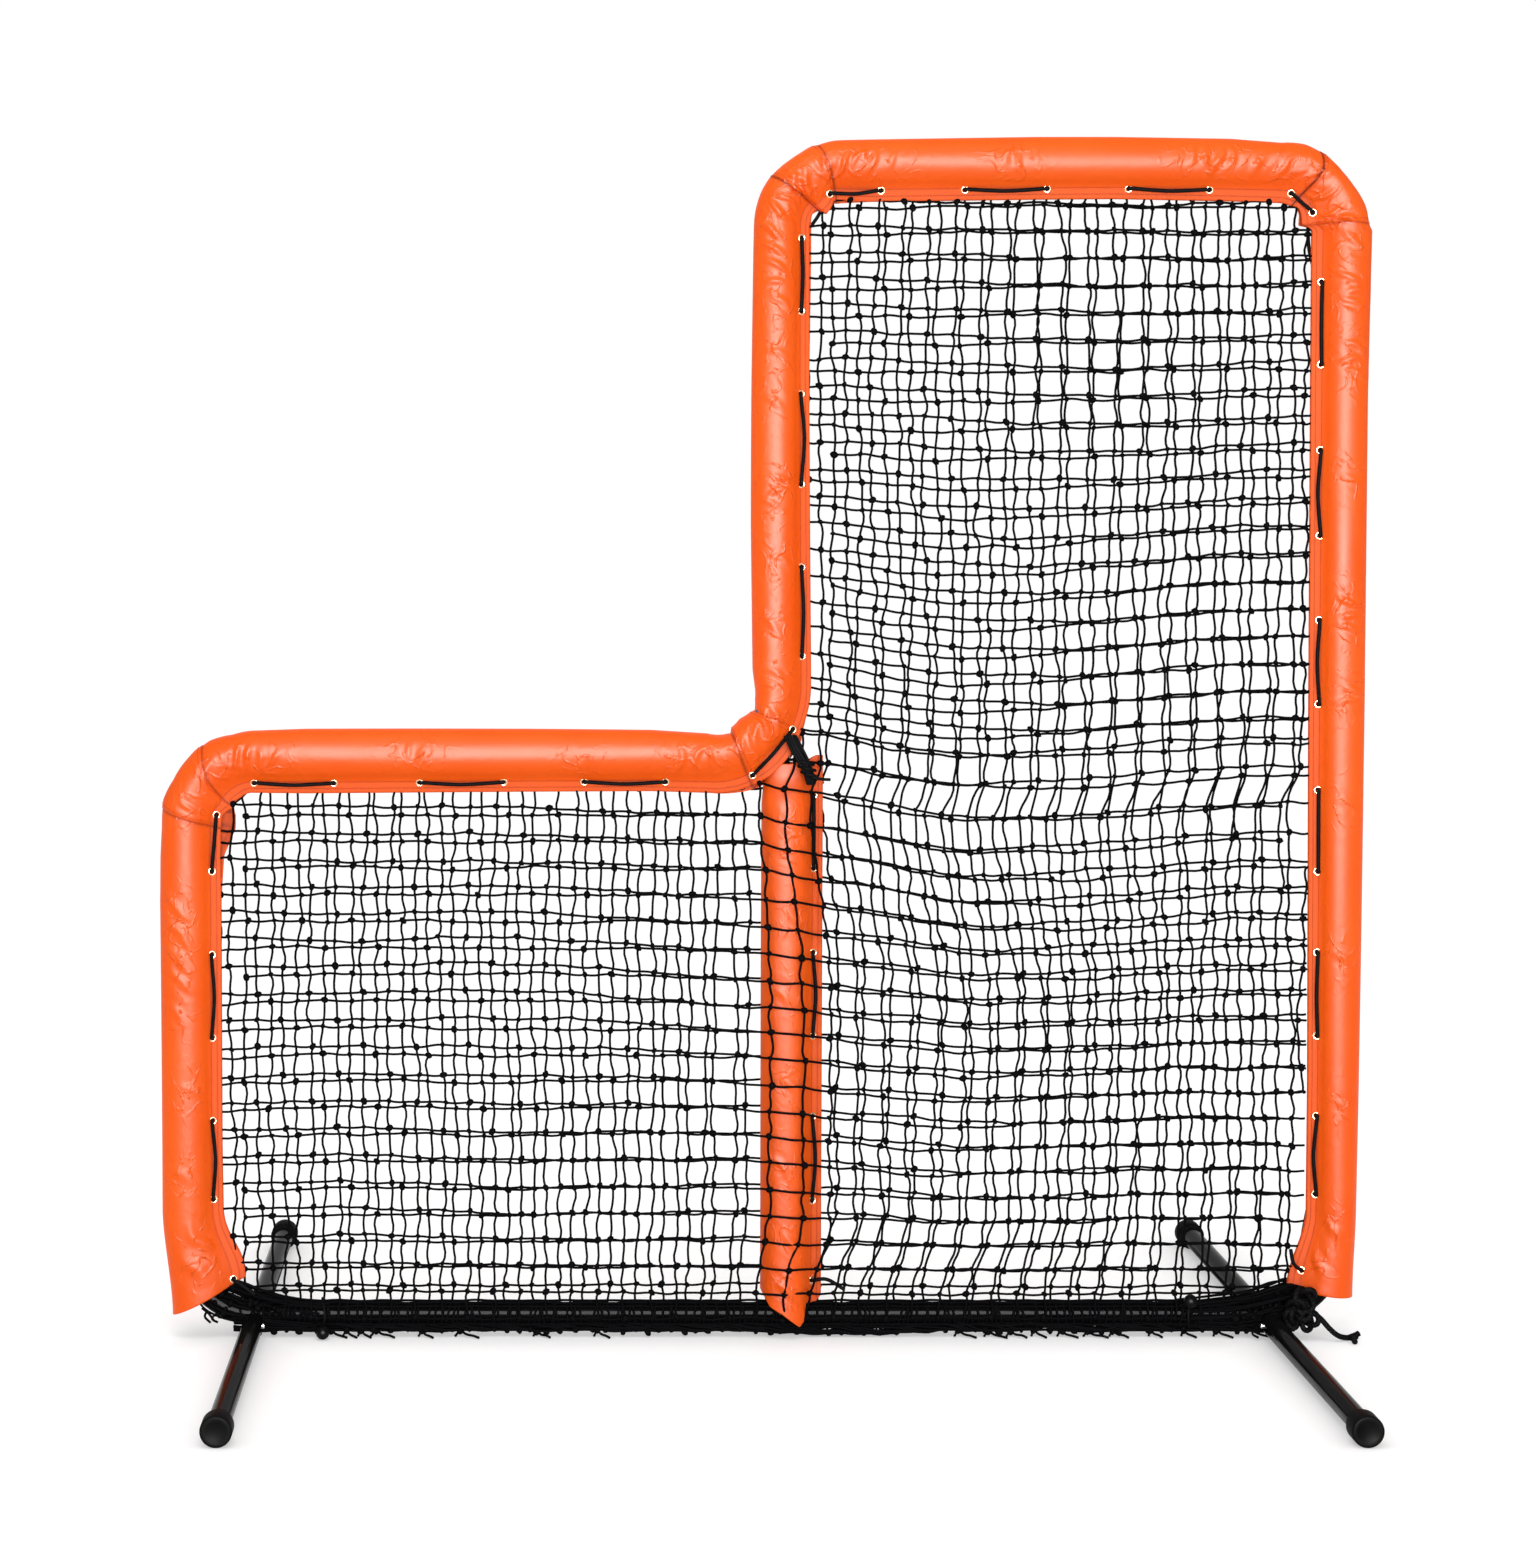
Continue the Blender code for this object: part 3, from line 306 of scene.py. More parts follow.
def grown(name, lines, tree, **values):
    """Let a geometry node tree grow a piece from a mesh of lines or points, as plain mesh."""
    holder = bpy.data.objects.new(name + "_lines", lines)
    scene.collection.objects.link(holder)
    modifier = holder.modifiers.new("shape", "NODES")
    modifier.node_group = tree
    for socket in tree.interface.items_tree:
        if socket.in_out == "INPUT" and socket.name in values:
            modifier[socket.identifier] = values[socket.name]
    bpy.context.view_layer.update()
    done = bpy.data.meshes.new_from_object(holder.evaluated_get(bpy.context.evaluated_depsgraph_get()))
    bpy.data.objects.remove(holder)
    done.name = name
    return add_piece(name, done)


def add_tube_nodes(tree, given):
    """Add the nodes that turn lines into round cord with its lay, and return the last one."""
    def measured(curve, label, measure):
        """Keep how far along a curve each of its points is."""
        keep = new_node(tree, "GeometryNodeCaptureAttribute", domain="POINT")
        keep.capture_items.new("FLOAT", label)
        far = new_node(tree, "GeometryNodeSplineParameter").outputs[measure]
        return give(keep, {"Geometry": curve, label: far}).outputs

    line = new_node(tree, "GeometryNodeMeshToCurve", {"Mesh": given["Geometry"]})
    line = measured(line, "Along", "Length")
    ring = new_node(tree, "GeometryNodeCurvePrimitiveCircle", {
        "Resolution": given["Sides"], "Radius": given["Radius"]})
    ring = measured(ring, "Around", "Factor")
    tube = new_node(tree, "GeometryNodeCurveToMesh", {
        "Curve": line["Geometry"], "Profile Curve": ring["Geometry"], "Fill Caps": True})
    turn = calc(tree, "MULTIPLY", ring["Around"], 2 * math.pi)
    lay = new_node(tree, "ShaderNodeCombineXYZ", {
        "X": calc(tree, "COSINE", turn), "Y": calc(tree, "SINE", turn), "Z": line["Along"]})
    return new_node(tree, "GeometryNodeStoreNamedAttribute", {"Name": "lay", "Geometry": tube, "Value": lay},
                    data_type="FLOAT_VECTOR", domain="POINT")


cord_tree, given, painted = new_shape_tree("cord", Radius="Float", Sides="Int")
give(painted, {"Geometry": add_tube_nodes(cord_tree, given)})


def lines_mesh(name, lines):
    """Make a mesh of edges from several lines of points."""
    verts, edges = [], []
    for points in lines:
        start = len(verts)
        verts += points
        edges += [(start + index, start + index + 1) for index in range(len(points) - 1)]
    return mesh_of(name, verts, [], edges)


def cord_piece(name, lines, diameter, finish, sides=10):
    """Make one piece of round cord along one or more lines of points."""
    piece = grown(name, lines_mesh(name, lines), cord_tree, Radius=diameter / 2, Sides=sides, Material=finish)
    piece.data.shade_smooth()
    return piece


# Rope end: the 10 mm braided rope that the net hangs on ends at the lower right corner. It is knotted
# there in front of the tube, and its free end drops to the floor and ends in two cut, sealed tips.
ROPE_OD = 0.010
rope_finish = cord_finish("rope_finish", (0.006, 0.006, 0.007), 0.65, 900, 3, 0.0012, 0.02)
rope_route = smooth_line([
    (0.99325, -0.03755, 0.0500), (1.00125, -0.03755, 0.0490), (1.01325, -0.04155, 0.0400),
    (1.02725, -0.04555, 0.0240), (1.04325, -0.04555, 0.0110), (1.06125, -0.03955, 0.0055),
    (1.08125, -0.03155, 0.0053)], 0.004)
rope_tail = cord_piece("rope_tail", [rope_route], ROPE_OD, rope_finish, 16)
rope_tips = cord_piece("rope_tips", [
    smooth_line([(1.0700, -0.0360, 0.0062), (1.0790, -0.0330, 0.0085), (1.0850, -0.0310, 0.0110)], 0.002),
    smooth_line([(1.0660, -0.0370, 0.0060), (1.0700, -0.0480, 0.0060), (1.0680, -0.0640, 0.0058)], 0.002),
], ROPE_OD * 1.05, rope_finish, 16)

# The rope's knot: the rope goes round the tube and the net's edge, crosses over itself and is drawn up.
knot_low, knot_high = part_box("rope_knot")
knot_at = (knot_low + knot_high) / 2


def knot_line(centre, size, turn):
    """Return a closed, lumpy run of rope that winds round twice and swells three times."""
    points = []
    for step in range(49):
        a = 2 * math.pi * step / 48 * 2
        swell = 1 + 0.38 * math.cos(a * 1.5 + turn)
        points.append(centre + Vector((
            size * 0.42 * swell * math.cos(a + turn), size * 0.36 * math.sin(a * 1.5),
            size * 0.46 * swell * math.sin(a + turn))))
    return smooth_line(points, 0.003)


rope_knot = cord_piece("rope_knot_turns", [
    knot_line(knot_at + Vector(shift), size, turn) for shift, size, turn in (
        ((-0.002, 0.002, 0.004), 0.036, 0.3), ((-0.012, 0.004, -0.008), 0.028, 1.4),
        ((0.010, 0.006, 0.026), 0.034, 2.2), ((0.016, 0.004, -0.012), 0.030, 0.9))], ROPE_OD, rope_finish, 12)
declare(rope_tail, "black_cord", "rope_end")
declare(rope_tips, "black_cord")
declare(rope_knot, "black_cord", "rope_knot")

def loft(name, rings, closed_round=True, cap_ends=False):
    """Skin a list of rings of points with faces that point out, with a map in metres."""
    count = len(rings[0])
    verts = [point for ring in rings for point in ring]
    faces, places = [], []
    run = [0.0]
    for before, after in zip(rings, rings[1:]):
        run.append(run[-1] + sum((a - b).length for a, b in zip(before, after)) / count)
    girth = [0.0]
    for index in range(count):
        girth.append(girth[-1] + (rings[0][index] - rings[0][(index + 1) % count]).length)
    for row in range(len(rings) - 1):
        for index in range(count if closed_round else count - 1):
            after = (index + 1) % count
            faces.append((row * count + index, row * count + after,
                          (row + 1) * count + after, (row + 1) * count + index))
            places.append(((girth[index], run[row]), (girth[index + 1], run[row]),
                           (girth[index + 1], run[row + 1]), (girth[index], run[row + 1])))
    if cap_ends:
        faces.append(tuple(reversed(range(count))))
        faces.append(tuple((len(rings) - 1) * count + index for index in range(count)))
        places += [tuple((0.0, 0.0) for _ in range(count))] * 2
    mesh = mesh_of(name, verts, faces)
    chart = mesh.uv_layers.new(name="cloth")
    chart.data.foreach_set("uv", [part for face in places for place in face for part in place])
    return mesh


def ring_round(centre, across, up, radius, sides):
    """Return the points of a circle."""
    turns = [2 * math.pi * side / sides for side in range(sides)]
    return [centre + radius * (across * math.cos(turn) + up * math.sin(turn)) for turn in turns]


def cleaned(mesh, gap, angle=180):
    """Join a mesh's doubled points, turn its faces out, and smooth it but for edges past an angle."""
    bm = bmesh.new()
    bm.from_mesh(mesh)
    bmesh.ops.remove_doubles(bm, verts=bm.verts, dist=gap)
    bmesh.ops.recalc_face_normals(bm, faces=bm.faces)
    bm.to_mesh(mesh)
    bm.free()
    mesh.shade_smooth()
    mesh.set_sharp_from_angle(angle=math.radians(angle))
    return mesh


# Wear and dust: a mask of slow patches and fine specks over a surface, from the object's own place.
patches, given, result = new_group("patches", "ShaderNodeTree", {
    "Scale": "Float", "Low": "Float", "High": "Float"}, {"Mask": "Float"})
clouds = new_node(patches, "ShaderNodeTexNoise", {
    "Vector": new_node(patches, "ShaderNodeTexCoord").outputs["Object"], "Scale": given["Scale"],
    "Detail": 5.0, "Roughness": 0.6})
give(result, {"Mask": new_node(patches, "ShaderNodeMapRange", {
    "Value": clouds, "From Min": given["Low"], "From Max": given["High"]})})


def paint(name, gloss, scale, low, high, colours, roughness, metal=0.0):
    """Make a material whose colour and roughness vary between two values by slow patches."""
    material = bpy.data.materials.new(name)
    material.use_nodes = True
    tree = material.node_tree
    mask = new_node(tree, "ShaderNodeGroup", {"Scale": scale, "Low": low, "High": high}, node_tree=patches)
    first, second = colours
    tint = new_node(tree, "ShaderNodeMix", {0: mask, 6: (*first, 1), 7: (*second, 1)}, data_type="RGBA")
    low, high = roughness
    rough = new_node(tree, "ShaderNodeMapRange", {"Value": mask, "To Min": low, "To Max": high})
    give(tree.nodes["Principled BSDF"], {
        "Specular IOR Level": gloss, "Metallic": metal, "Base Color": tint.outputs[2], "Roughness": rough})
    return material


def grained(material, texture, strength, depth, **facts):
    """Roughen a material's surface with a fine texture."""
    tree = material.node_tree
    place = new_node(tree, "ShaderNodeTexCoord").outputs["Object"]
    grain = new_node(tree, texture, {"Vector": place, **facts})
    bump = new_node(tree, "ShaderNodeBump", {"Strength": strength, "Distance": depth, "Height": grain})
    give(tree.nodes["Principled BSDF"], {"Normal": bump})


# Frame: 38 mm steel tube, bent at the corners, with swaged ends pushed into the straight runs, and
# sprayed gloss black. Only the bottom rail, its corners and the ends in the covers can be seen.
tube_paint = paint("tube_paint", 0.018, 9.0, 0.35, 0.75,
                   ((0.003, 0.003, 0.003), (0.007, 0.006, 0.006)), (0.10, 0.22))
grained(tube_paint, "ShaderNodeTexNoise", 0.12, 0.0004, Scale=420.0, Detail=2.0)
TUBE_WALL = 0.0016
ELBOW_REACH = 0.150
JOINT_GAP = 0.0004


def bend_place(meeting, before, after, turn):
    """Return the point and direction of a bent tube's centre line at an angle, where two runs meet."""
    centre = meeting - before * BEND + after * BEND
    return (centre + BEND * (before * math.sin(turn) - after * math.cos(turn)),
            before * math.cos(turn) + after * math.sin(turn))


def bare_tube(node, line):
    """Make a tube along (point, direction) stations, down its outside and back up its bore."""
    sides = []
    for point, along in line:
        across = REAR.cross(along).normalized()
        sides.append((point, across, along.cross(across)))
    rings = [ring_round(*side, TUBE_R, 48) for side in sides]
    rings += [ring_round(*side, TUBE_R - TUBE_WALL, 48) for side in reversed(sides)] + rings[:1]
    piece = add_piece(node + "_tube", cleaned(loft(node + "_tube", rings), 1e-6, 35), tube_paint)
    declare(piece, "black_paint", node)


def bare_elbow(node, meeting, before, after):
    """Make a bent corner tube with its two short straight legs."""
    line = [bend_place(meeting, before, after, math.pi / 2 * step / 16) for step in range(17)]
    leg = ELBOW_REACH - BEND
    bare_tube(node, [(line[0][0] - before * leg, before), *line, (line[-1][0] + after * leg, after)])


bottom_left = Vector((LEFT_X, 0, RAIL_Z))
bottom_right = Vector((RIGHT_X, 0, RAIL_Z))
bare_tube("bottom_rail", [(bottom_left + RIGHT * (ELBOW_REACH + JOINT_GAP), RIGHT),
                          (bottom_right + LEFT * (ELBOW_REACH + JOINT_GAP), RIGHT)])
bare_elbow("bottom_left_elbow", bottom_left, LEFT, UP)
bare_elbow("bottom_right_elbow", bottom_right, DOWN, LEFT)
for node in ("left_post", "low_rail", "tall_post", "top_rail", "right_post", "centre_post", "inner_elbow",
             "lower_left_elbow", "top_left_elbow", "top_right_elbow", "left_cross_spigot",
             "right_cross_spigot"):
    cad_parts[node].data.materials.clear()
    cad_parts[node].data.materials.append(tube_paint)

# Half legs: four lengths of the same tube, one to the front and one to the rear at each side. Each slips
# over a short cross spigot under the rail, where a button on a folded leaf spring snaps out through a
# hole in its side. A rubber tip is pushed over its other end.
BUTTON_AT = 0.036
BUTTON_R = 0.00475
FLANGE_R = 0.0065
FLANGE_THICK = 0.0012
TIP_EDGE = 0.0045
LIP_R = TUBE_R + 0.0052
rubber = paint("tip_rubber", 0.02, 30.0, 0.3, 0.8,
               ((0.003, 0.003, 0.003), (0.008, 0.008, 0.008)), (0.45, 0.66))
grained(rubber, "ShaderNodeTexNoise", 0.3, 0.0003, Scale=900.0, Detail=3.0)
bright = paint("button_plate", 0.5, 260.0, 0.35, 0.75,
               ((0.80, 0.80, 0.82), (0.62, 0.62, 0.64)), (0.16, 0.30), metal=1.0)


def turned(name, base, axis, across, profile, sides, material):
    """Make a turned piece from (distance, radius) points, closed where the radius is zero."""
    up = axis.cross(across)
    rings = [ring_round(base + axis * distance, across, up, radius, sides) for distance, radius in profile]
    return add_piece(name, cleaned(loft(name, rings), 1e-7, 40), material)


for name in ("left_front", "left_rear", "right_front", "right_rear"):
    low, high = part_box(name + "_leg")
    away = FRONT if name.endswith("front") else REAR
    inboard = RIGHT if name.startswith("left") else LEFT
    centre = Vector(((low.x + high.x) / 2, 0, (low.z + high.z) / 2))
    start, end = sorted((abs(low.y), abs(high.y)))
    profile = [(start + 0.0008, TUBE_R), (end, TUBE_R), (end, TUBE_R - TUBE_WALL),
               (start, TUBE_R - TUBE_WALL), (start, TUBE_R - 0.0008), (start + 0.0008, TUBE_R)]
    leg = turned(name + "_leg_tube", centre, away, RIGHT, profile, 64, tube_paint)
    hole = turned(name + "_hole", centre + away * BUTTON_AT + inboard * (TUBE_R - 0.004), inboard, UP,
                  [(0, 0), (0, BUTTON_R + 0.0004), (0.010, BUTTON_R + 0.0004), (0.010, 0)], 24, tube_paint)
    cut = leg.modifiers.new("hole", "BOOLEAN")
    cut.object, cut.solver = hole, "EXACT"
    bpy.context.view_layer.update()
    shaped = bpy.data.meshes.new_from_object(leg.evaluated_get(bpy.context.evaluated_depsgraph_get()))
    leg.modifiers.clear()
    leg.data = shaped
    bpy.data.objects.remove(hole)
    declare(leg, "black_paint", name + "_leg")

    low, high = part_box(name + "_tip")
    tip_r = (high.x - low.x) / 2
    reach = max(abs(low.y), abs(high.y))
    collar = reach - (high.y - low.y)
    rounding = [(reach - TIP_EDGE + TIP_EDGE * math.sin(turn), tip_r - TIP_EDGE + TIP_EDGE * math.cos(turn))
                for turn in [math.pi / 12 * step for step in range(7)]]
    profile = [(collar, TUBE_R + 0.0002), (collar, TUBE_R + 0.0042), (collar + 0.0015, LIP_R),
               (collar + 0.004, LIP_R), (collar + 0.0065, tip_r - 0.0012), (collar + 0.009, tip_r),
               *rounding, (reach - 0.0008, tip_r * 0.62), (reach - 0.0020, tip_r * 0.55), (reach - 0.0020, 0),
               (reach - 0.006, 0), (reach - 0.006, TUBE_R + 0.0002), (collar, TUBE_R + 0.0002)]
    declare(turned(name + "_tip_cap", centre, away, DOWN, profile, 64, rubber), "black_rubber", name + "_tip")

    low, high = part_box(name + "_button")
    long = high.x - low.x
    base = Vector((low.x if inboard.x > 0 else high.x, (low.y + high.y) / 2, (low.z + high.z) / 2))
    dome = [(long - 0.0032 + 0.0032 * math.sin(turn), BUTTON_R * math.cos(turn))
            for turn in [math.pi / 16 * step for step in range(8)]]
    profile = [(0, 0), (0, FLANGE_R), (FLANGE_THICK, FLANGE_R), (FLANGE_THICK, BUTTON_R), *dome, (long, 0)]
    button = turned(name + "_button_dome", base, inboard, UP, profile, 32, bright)
    declare(button, "bright_steel", name + "_button", body=name + "_button")

    low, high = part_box(name + "_clip")
    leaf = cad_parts[name + "_clip"].data.copy()
    leaf.materials.clear()
    clip = add_piece(name + "_leaf_clip", leaf, bright)
    eased = clip.modifiers.new("eased", "BEVEL")
    eased.width, eased.segments = 0.0002, 1
    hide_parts(name + "_clip")
    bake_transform(clip)

# Covers: sleeves of vinyl-coated cloth, wrapped round the foam with both hems to the net. Each hem is
# turned in and stitched twice. Mitred gussets lie over the ends of the long sleeves at four corners.
PAD_R = 0.0425
FLAP_REACH = 0.0685
FLAP_OFF = 0.0035
FLAP_SLOPE = 0.42
ROOT_TURN = math.radians(46)
vinyl = paint("orange_vinyl_cloth", 0.13, 5.0, 0.30, 0.75,
              ((0.955, 0.100, 0.001), (0.98, 0.120, 0.002)), (0.41, 0.49))
tree = vinyl.node_tree
shader = tree.nodes["Principled BSDF"]
shaded, hemmed, creased = [new_node(tree, "ShaderNodeAttribute", attribute_name=name).outputs["Fac"]
                           for name in ("shaded", "hemmed", "creased")]
colour, rough = [shader.inputs[name].links[0].from_socket for name in ("Base Color", "Roughness")]
# Painted shade: the 'shaded' mark darkens the cloth's colour along the stitch rows and beside the gussets'
# ends, where an overlapping edge casts its shadow.
painted_shade_colour = new_node(tree, "ShaderNodeMix", {0: shaded, 6: colour, 7: (0.17, 0.011, 0.001, 1)},
                       data_type="RGBA")
hem_rough = new_node(tree, "ShaderNodeMix", {0: hemmed, 2: rough, 3: 0.80}, data_type="FLOAT")
chart = new_node(tree, "ShaderNodeUVMap", uv_map="cloth")
crease = new_node(tree, "ShaderNodeTexNoise", {
    "Vector": chart, "Scale": 26.0, "Detail": 2.0, "Roughness": 0.4, "Distortion": 0.7, "Offset": 1.0,
    "Gain": 2.0}, noise_type="RIDGED_MULTIFRACTAL", normalize=False)
sharp = new_node(tree, "ShaderNodeMapRange", {"Value": crease, "From Min": 1.15, "From Max": 2.1})
folds = new_node(tree, "ShaderNodeBump", {
    "Strength": 1.0, "Distance": 0.0042, "Height": calc(tree, "MULTIPLY", sharp, creased)})
weave = new_node(tree, "ShaderNodeTexNoise", {"Vector": chart, "Scale": 55.0, "Detail": 3.0})
grain = new_node(tree, "ShaderNodeTexVoronoi", {"Vector": chart, "Scale": 900.0})
both = new_node(tree, "ShaderNodeMath", {0: weave, 1: 6.0, 2: grain}, operation="MULTIPLY_ADD")
bump = new_node(tree, "ShaderNodeBump", {
    "Strength": 0.20, "Distance": 0.0004, "Height": both, "Normal": folds})
give(shader, {"Base Color": painted_shade_colour.outputs[2], "Roughness": hem_rough, "Normal": bump})
FLAP_STEP = 0.0029
FLAP_STEPS = 7
ARC_STEPS = 24


def half_section():
    """Return the front half of a sleeve's section, from the hem's edge to the outer middle."""
    points = [(FLAP_REACH - FLAP_STEP * step, FLAP_OFF + FLAP_STEP * step * FLAP_SLOPE)
              for step in range(FLAP_STEPS)]
    start, end = Vector(points[-1]), Vector((PAD_R * math.cos(ROOT_TURN), PAD_R * math.sin(ROOT_TURN)))
    pull = Vector((math.sin(ROOT_TURN), -math.cos(ROOT_TURN))) * 0.010
    first, second = start + Vector((-0.0045, 0.0034)), end + pull
    for step in range(1, 7):
        t = step / 7
        point = (start * (1 - t) ** 3 + first * 3 * t * (1 - t) ** 2
                 + second * 3 * t * t * (1 - t) + end * t ** 3)
        points.append((point.x, point.y))
    for step in range(ARC_STEPS):
        turn = ROOT_TURN + (math.pi - ROOT_TURN) * step / ARC_STEPS
        points.append((PAD_R * math.cos(turn), PAD_R * math.sin(turn)))
    return points


front_half = half_section()
section = [(u, -v) for u, v in front_half] + [(-PAD_R, 0.0)] + [(u, v) for u, v in reversed(front_half)]


def run_stations(runs, step):
    """Return evenly spaced (point, direction, distance) stations along straight and bent runs."""
    result = []
    passed = 0.0
    for kind, *facts in runs:
        if kind == "straight":
            start, end = facts
            along = (end - start).normalized()
            length = (end - start).length
            count = max(1, round(length / step))
            places = [(start + along * length * index / count, along) for index in range(count)]
            places.append((end, along))
        else:
            *corner, low, high = facts
            length = BEND * math.radians(high - low)
            count = max(1, round(length / (step * 0.8)))
            places = [bend_place(*corner, math.radians(low + (high - low) * index / count))
                      for index in range(count + 1)]
        result += [(*place, passed + length * index / count) for index, place in enumerate(places[:-1])]
        passed += length
    result.append((*places[-1], passed))
    return result


CORNERS = {
    "bottom_left": (Vector((LEFT_X, 0, RAIL_Z)), LEFT, UP),
    "lower_left": (Vector((LEFT_X, 0, LOW_Z)), UP, RIGHT),
    "inner": (Vector((TALL_X, 0, LOW_Z)), RIGHT, UP),
    "top_left": (Vector((TALL_X, 0, TOP_Z)), UP, RIGHT),
    "top_right": (Vector((RIGHT_X, 0, TOP_Z)), RIGHT, DOWN),
    "bottom_right": (Vector((RIGHT_X, 0, RAIL_Z)), DOWN, LEFT),
}


def bend(name, low, high):
    """Return one bent run between two angles of a corner."""
    return ("bend", *CORNERS[name], low, high)


def straight(first, second):
    """Return the straight run between two corners."""
    start, before, after = CORNERS[first]
    end = CORNERS[second][0]
    return ("straight", start + after * BEND, end - after * BEND)


SEAMS = {"lower_left": ((7, -9, 0), (56, 29, 2)), "inner": ((28, 24.4, -1), (61.7, 64.3, 1)),
         "top_left": ((36, 37, 0), (72.5, 78, 1)), "top_right": ((27, 30, 6), (88, 85, 0))}
OVERLAP = 4.0


def seam_turn(corner, which, u):
    """Return the angle at which a gusset's seam crosses a place of the section."""
    outer, hem, bow = SEAMS[corner][which]
    share = (u + PAD_R) / (PAD_R + FLAP_REACH)
    return outer + (hem - outer) * share + bow * math.sin(math.pi * min(1, share))


def sleeve_end(corner, which):
    """Return the angle at which the sleeve under a corner's gusset ends."""
    turns = [seam_turn(corner, which, u) for u in (-PAD_R, -0.01, 0.02, FLAP_REACH)]
    return max(turns) + OVERLAP if which == 0 else min(turns) - OVERLAP


def post_run(x, first, second):
    """Return a straight run up or down a post."""
    return ("straight", Vector((x, 0, first)), Vector((x, 0, second)))


def sleeve_runs(first, second):
    """Return the runs of a sleeve from under one corner's gusset to under the next one's."""
    return [bend(first, sleeve_end(first, 1), 90), straight(first, second),
            bend(second, 0, sleeve_end(second, 0))]


cover_runs = {
    "left": [post_run(LEFT_X, RAIL_Z + 0.025, LOW_Z - BEND),
             bend("lower_left", 0, sleeve_end("lower_left", 0))],
    "low": sleeve_runs("lower_left", "inner"), "tall": sleeve_runs("inner", "top_left"),
    "top": sleeve_runs("top_left", "top_right"),
    "right": [bend("top_right", sleeve_end("top_right", 1), 90),
              post_run(RIGHT_X, TOP_Z - BEND, RAIL_Z + 0.040)],
    "centre": [post_run(CENTRE_X, RAIL_Z + 0.020, LOW_Z - 0.016)],
}
for name in SEAMS:
    cover_runs[name] = [bend(name, seam_turn(name, 0, 0.0), seam_turn(name, 1, 0.0))]
CLOTH_STEP = 0.0068
FINE_STEP = 0.0031


def turned_place(corner, turn):
    """Return the point and direction of the tube's centre line at an angle of a corner, or past its bend."""
    _, before, after = CORNERS[corner]
    point, along = bend_place(*CORNERS[corner], math.radians(min(90, max(0, turn))))
    if turn < 0:
        return point + before * math.radians(turn) * BEND, before
    if turn > 90:
        return point + after * math.radians(turn - 90) * BEND, after
    return point, along


def net_side(along):
    """Return the direction square to a run that points to the net."""
    return Vector((along.z, 0, -along.x))


# How each cover lies against the plain sleeve, at an angle of a corner and millimetres before or past it:
# how far its outer edge, its hems and its rear hem lie to the net, in tenths of a millimetre.
LIES = {
    "lower_left": (
        (0, -750, -30, -20, 0), (0, -600, -32, -40, 0), (0, -150, -46, -40, 0), (0, -70, -35, -50, 60),
        (0, -20, -8, -40, 260), (7, 0, 2, 0, 220), (26, 0, 74, 120, 40), (44, 0, 70, 100, 0),
        (62, 0, 30, 100, 0), (77, 0, 75, 70, 0), (90, 0, 42, 60, 0), (90, 100, 10, 70, 0),
        (90, 500, 15, 40, 0)),
    "inner": (
        (0, -100, 30, 30, 0), (0, 0, 90, 60, 0), (16, 0, 150, 100, 40), (27, 0, 185, 100, 100),
        (29, 0, 130, 90, 120), (45, 0, 95, 60, 120), (60.5, 0, 175, 20, 80), (62.5, 0, 200, 10, 40),
        (74, 0, 130, 0, 0), (90, 30, 50, 0, 0), (90, 300, 20, -30, 0)),
    "top_left": (
        (0, -300, 25, -50, 0), (0, -50, 45, -60, 40), (2, 0, 52, -60, 40), (25, 0, 43, -60, 0),
        (35.5, 0, 50, -40, 40), (38, 0, 85, 60, 0), (43, 0, 100, 155, 0), (53, 0, 118, 140, 0),
        (61, 0, 116, 120, 20), (68, 0, 96, 80, 40), (72.5, 0, 88, 20, 40), (84, 0, 63, 20, 60),
        (90, 50, 50, 50, 0), (90, 350, 10, 10, 0)),
    "top_right": (
        (0, -300, 10, 0, 0), (0, -90, 40, 40, 0), (0, 0, 108, 70, 0), (16, 0, 73, 80, 0),
        (28, 0, 100, 80, 0), (36, 0, 136, 50, 0), (48, 0, 160, 50, 0), (59, 0, 148, 80, 0),
        (68, 0, 112, 100, 20), (77, 0, 72, 120, 20), (84.5, 0, 60, 110, 40), (90, 6, -35, -70, 0),
        (90, 50, -30, -70, 0), (90, 300, 10, -80, 0), (90, 900, 15, -110, 0), (90, 1550, 42, -160, 0),
        (90, 1900, 70, -160, 0)),
}
BEND_RUN = BEND * math.pi / 2
BEND_START = {}
run = 0.0
for name, leg in (("lower_left", LOW_Z - RAIL_Z), ("inner", TALL_X - LEFT_X), ("top_left", TOP_Z - LOW_Z),
                  ("top_right", RIGHT_X - TALL_X)):
    run += leg - 2 * BEND
    BEND_START[name] = run
    run += BEND_RUN
lie_table = np.array([
    (BEND_START[corner] + BEND_RUN * turn / 90 + past / 1000, outer / 10000, hem / 10000, rear / 10000)
    for corner, rows in LIES.items() for turn, past, outer, hem, rear in rows]).T


def path_place(point):
    """Return how far along the outer frame a point of its centre line is, from the bottom left bend."""
    found = []
    run = 0.0
    for first, second in zip(CORNERS, list(CORNERS)[1:]):
        start, before, after = CORNERS[first]
        begin = start + after * BEND
        length = (CORNERS[second][0] - start).length - 2 * BEND
        along = (point - begin).dot(after)
        if -0.001 <= along <= length + 0.001:
            found.append(((point - begin - after * along).length, run + along))
        run += length
        meeting, before, after = CORNERS[second]
        way = point - (meeting - before * BEND + after * BEND)
        turn = math.atan2(way.dot(before), -way.dot(after))
        if 0 <= turn <= math.pi / 2:
            found.append((abs(way.length - BEND), run + turn * BEND))
        run += BEND_RUN
    return min(found, key=lambda pair: pair[0])[1] if found else 0.0


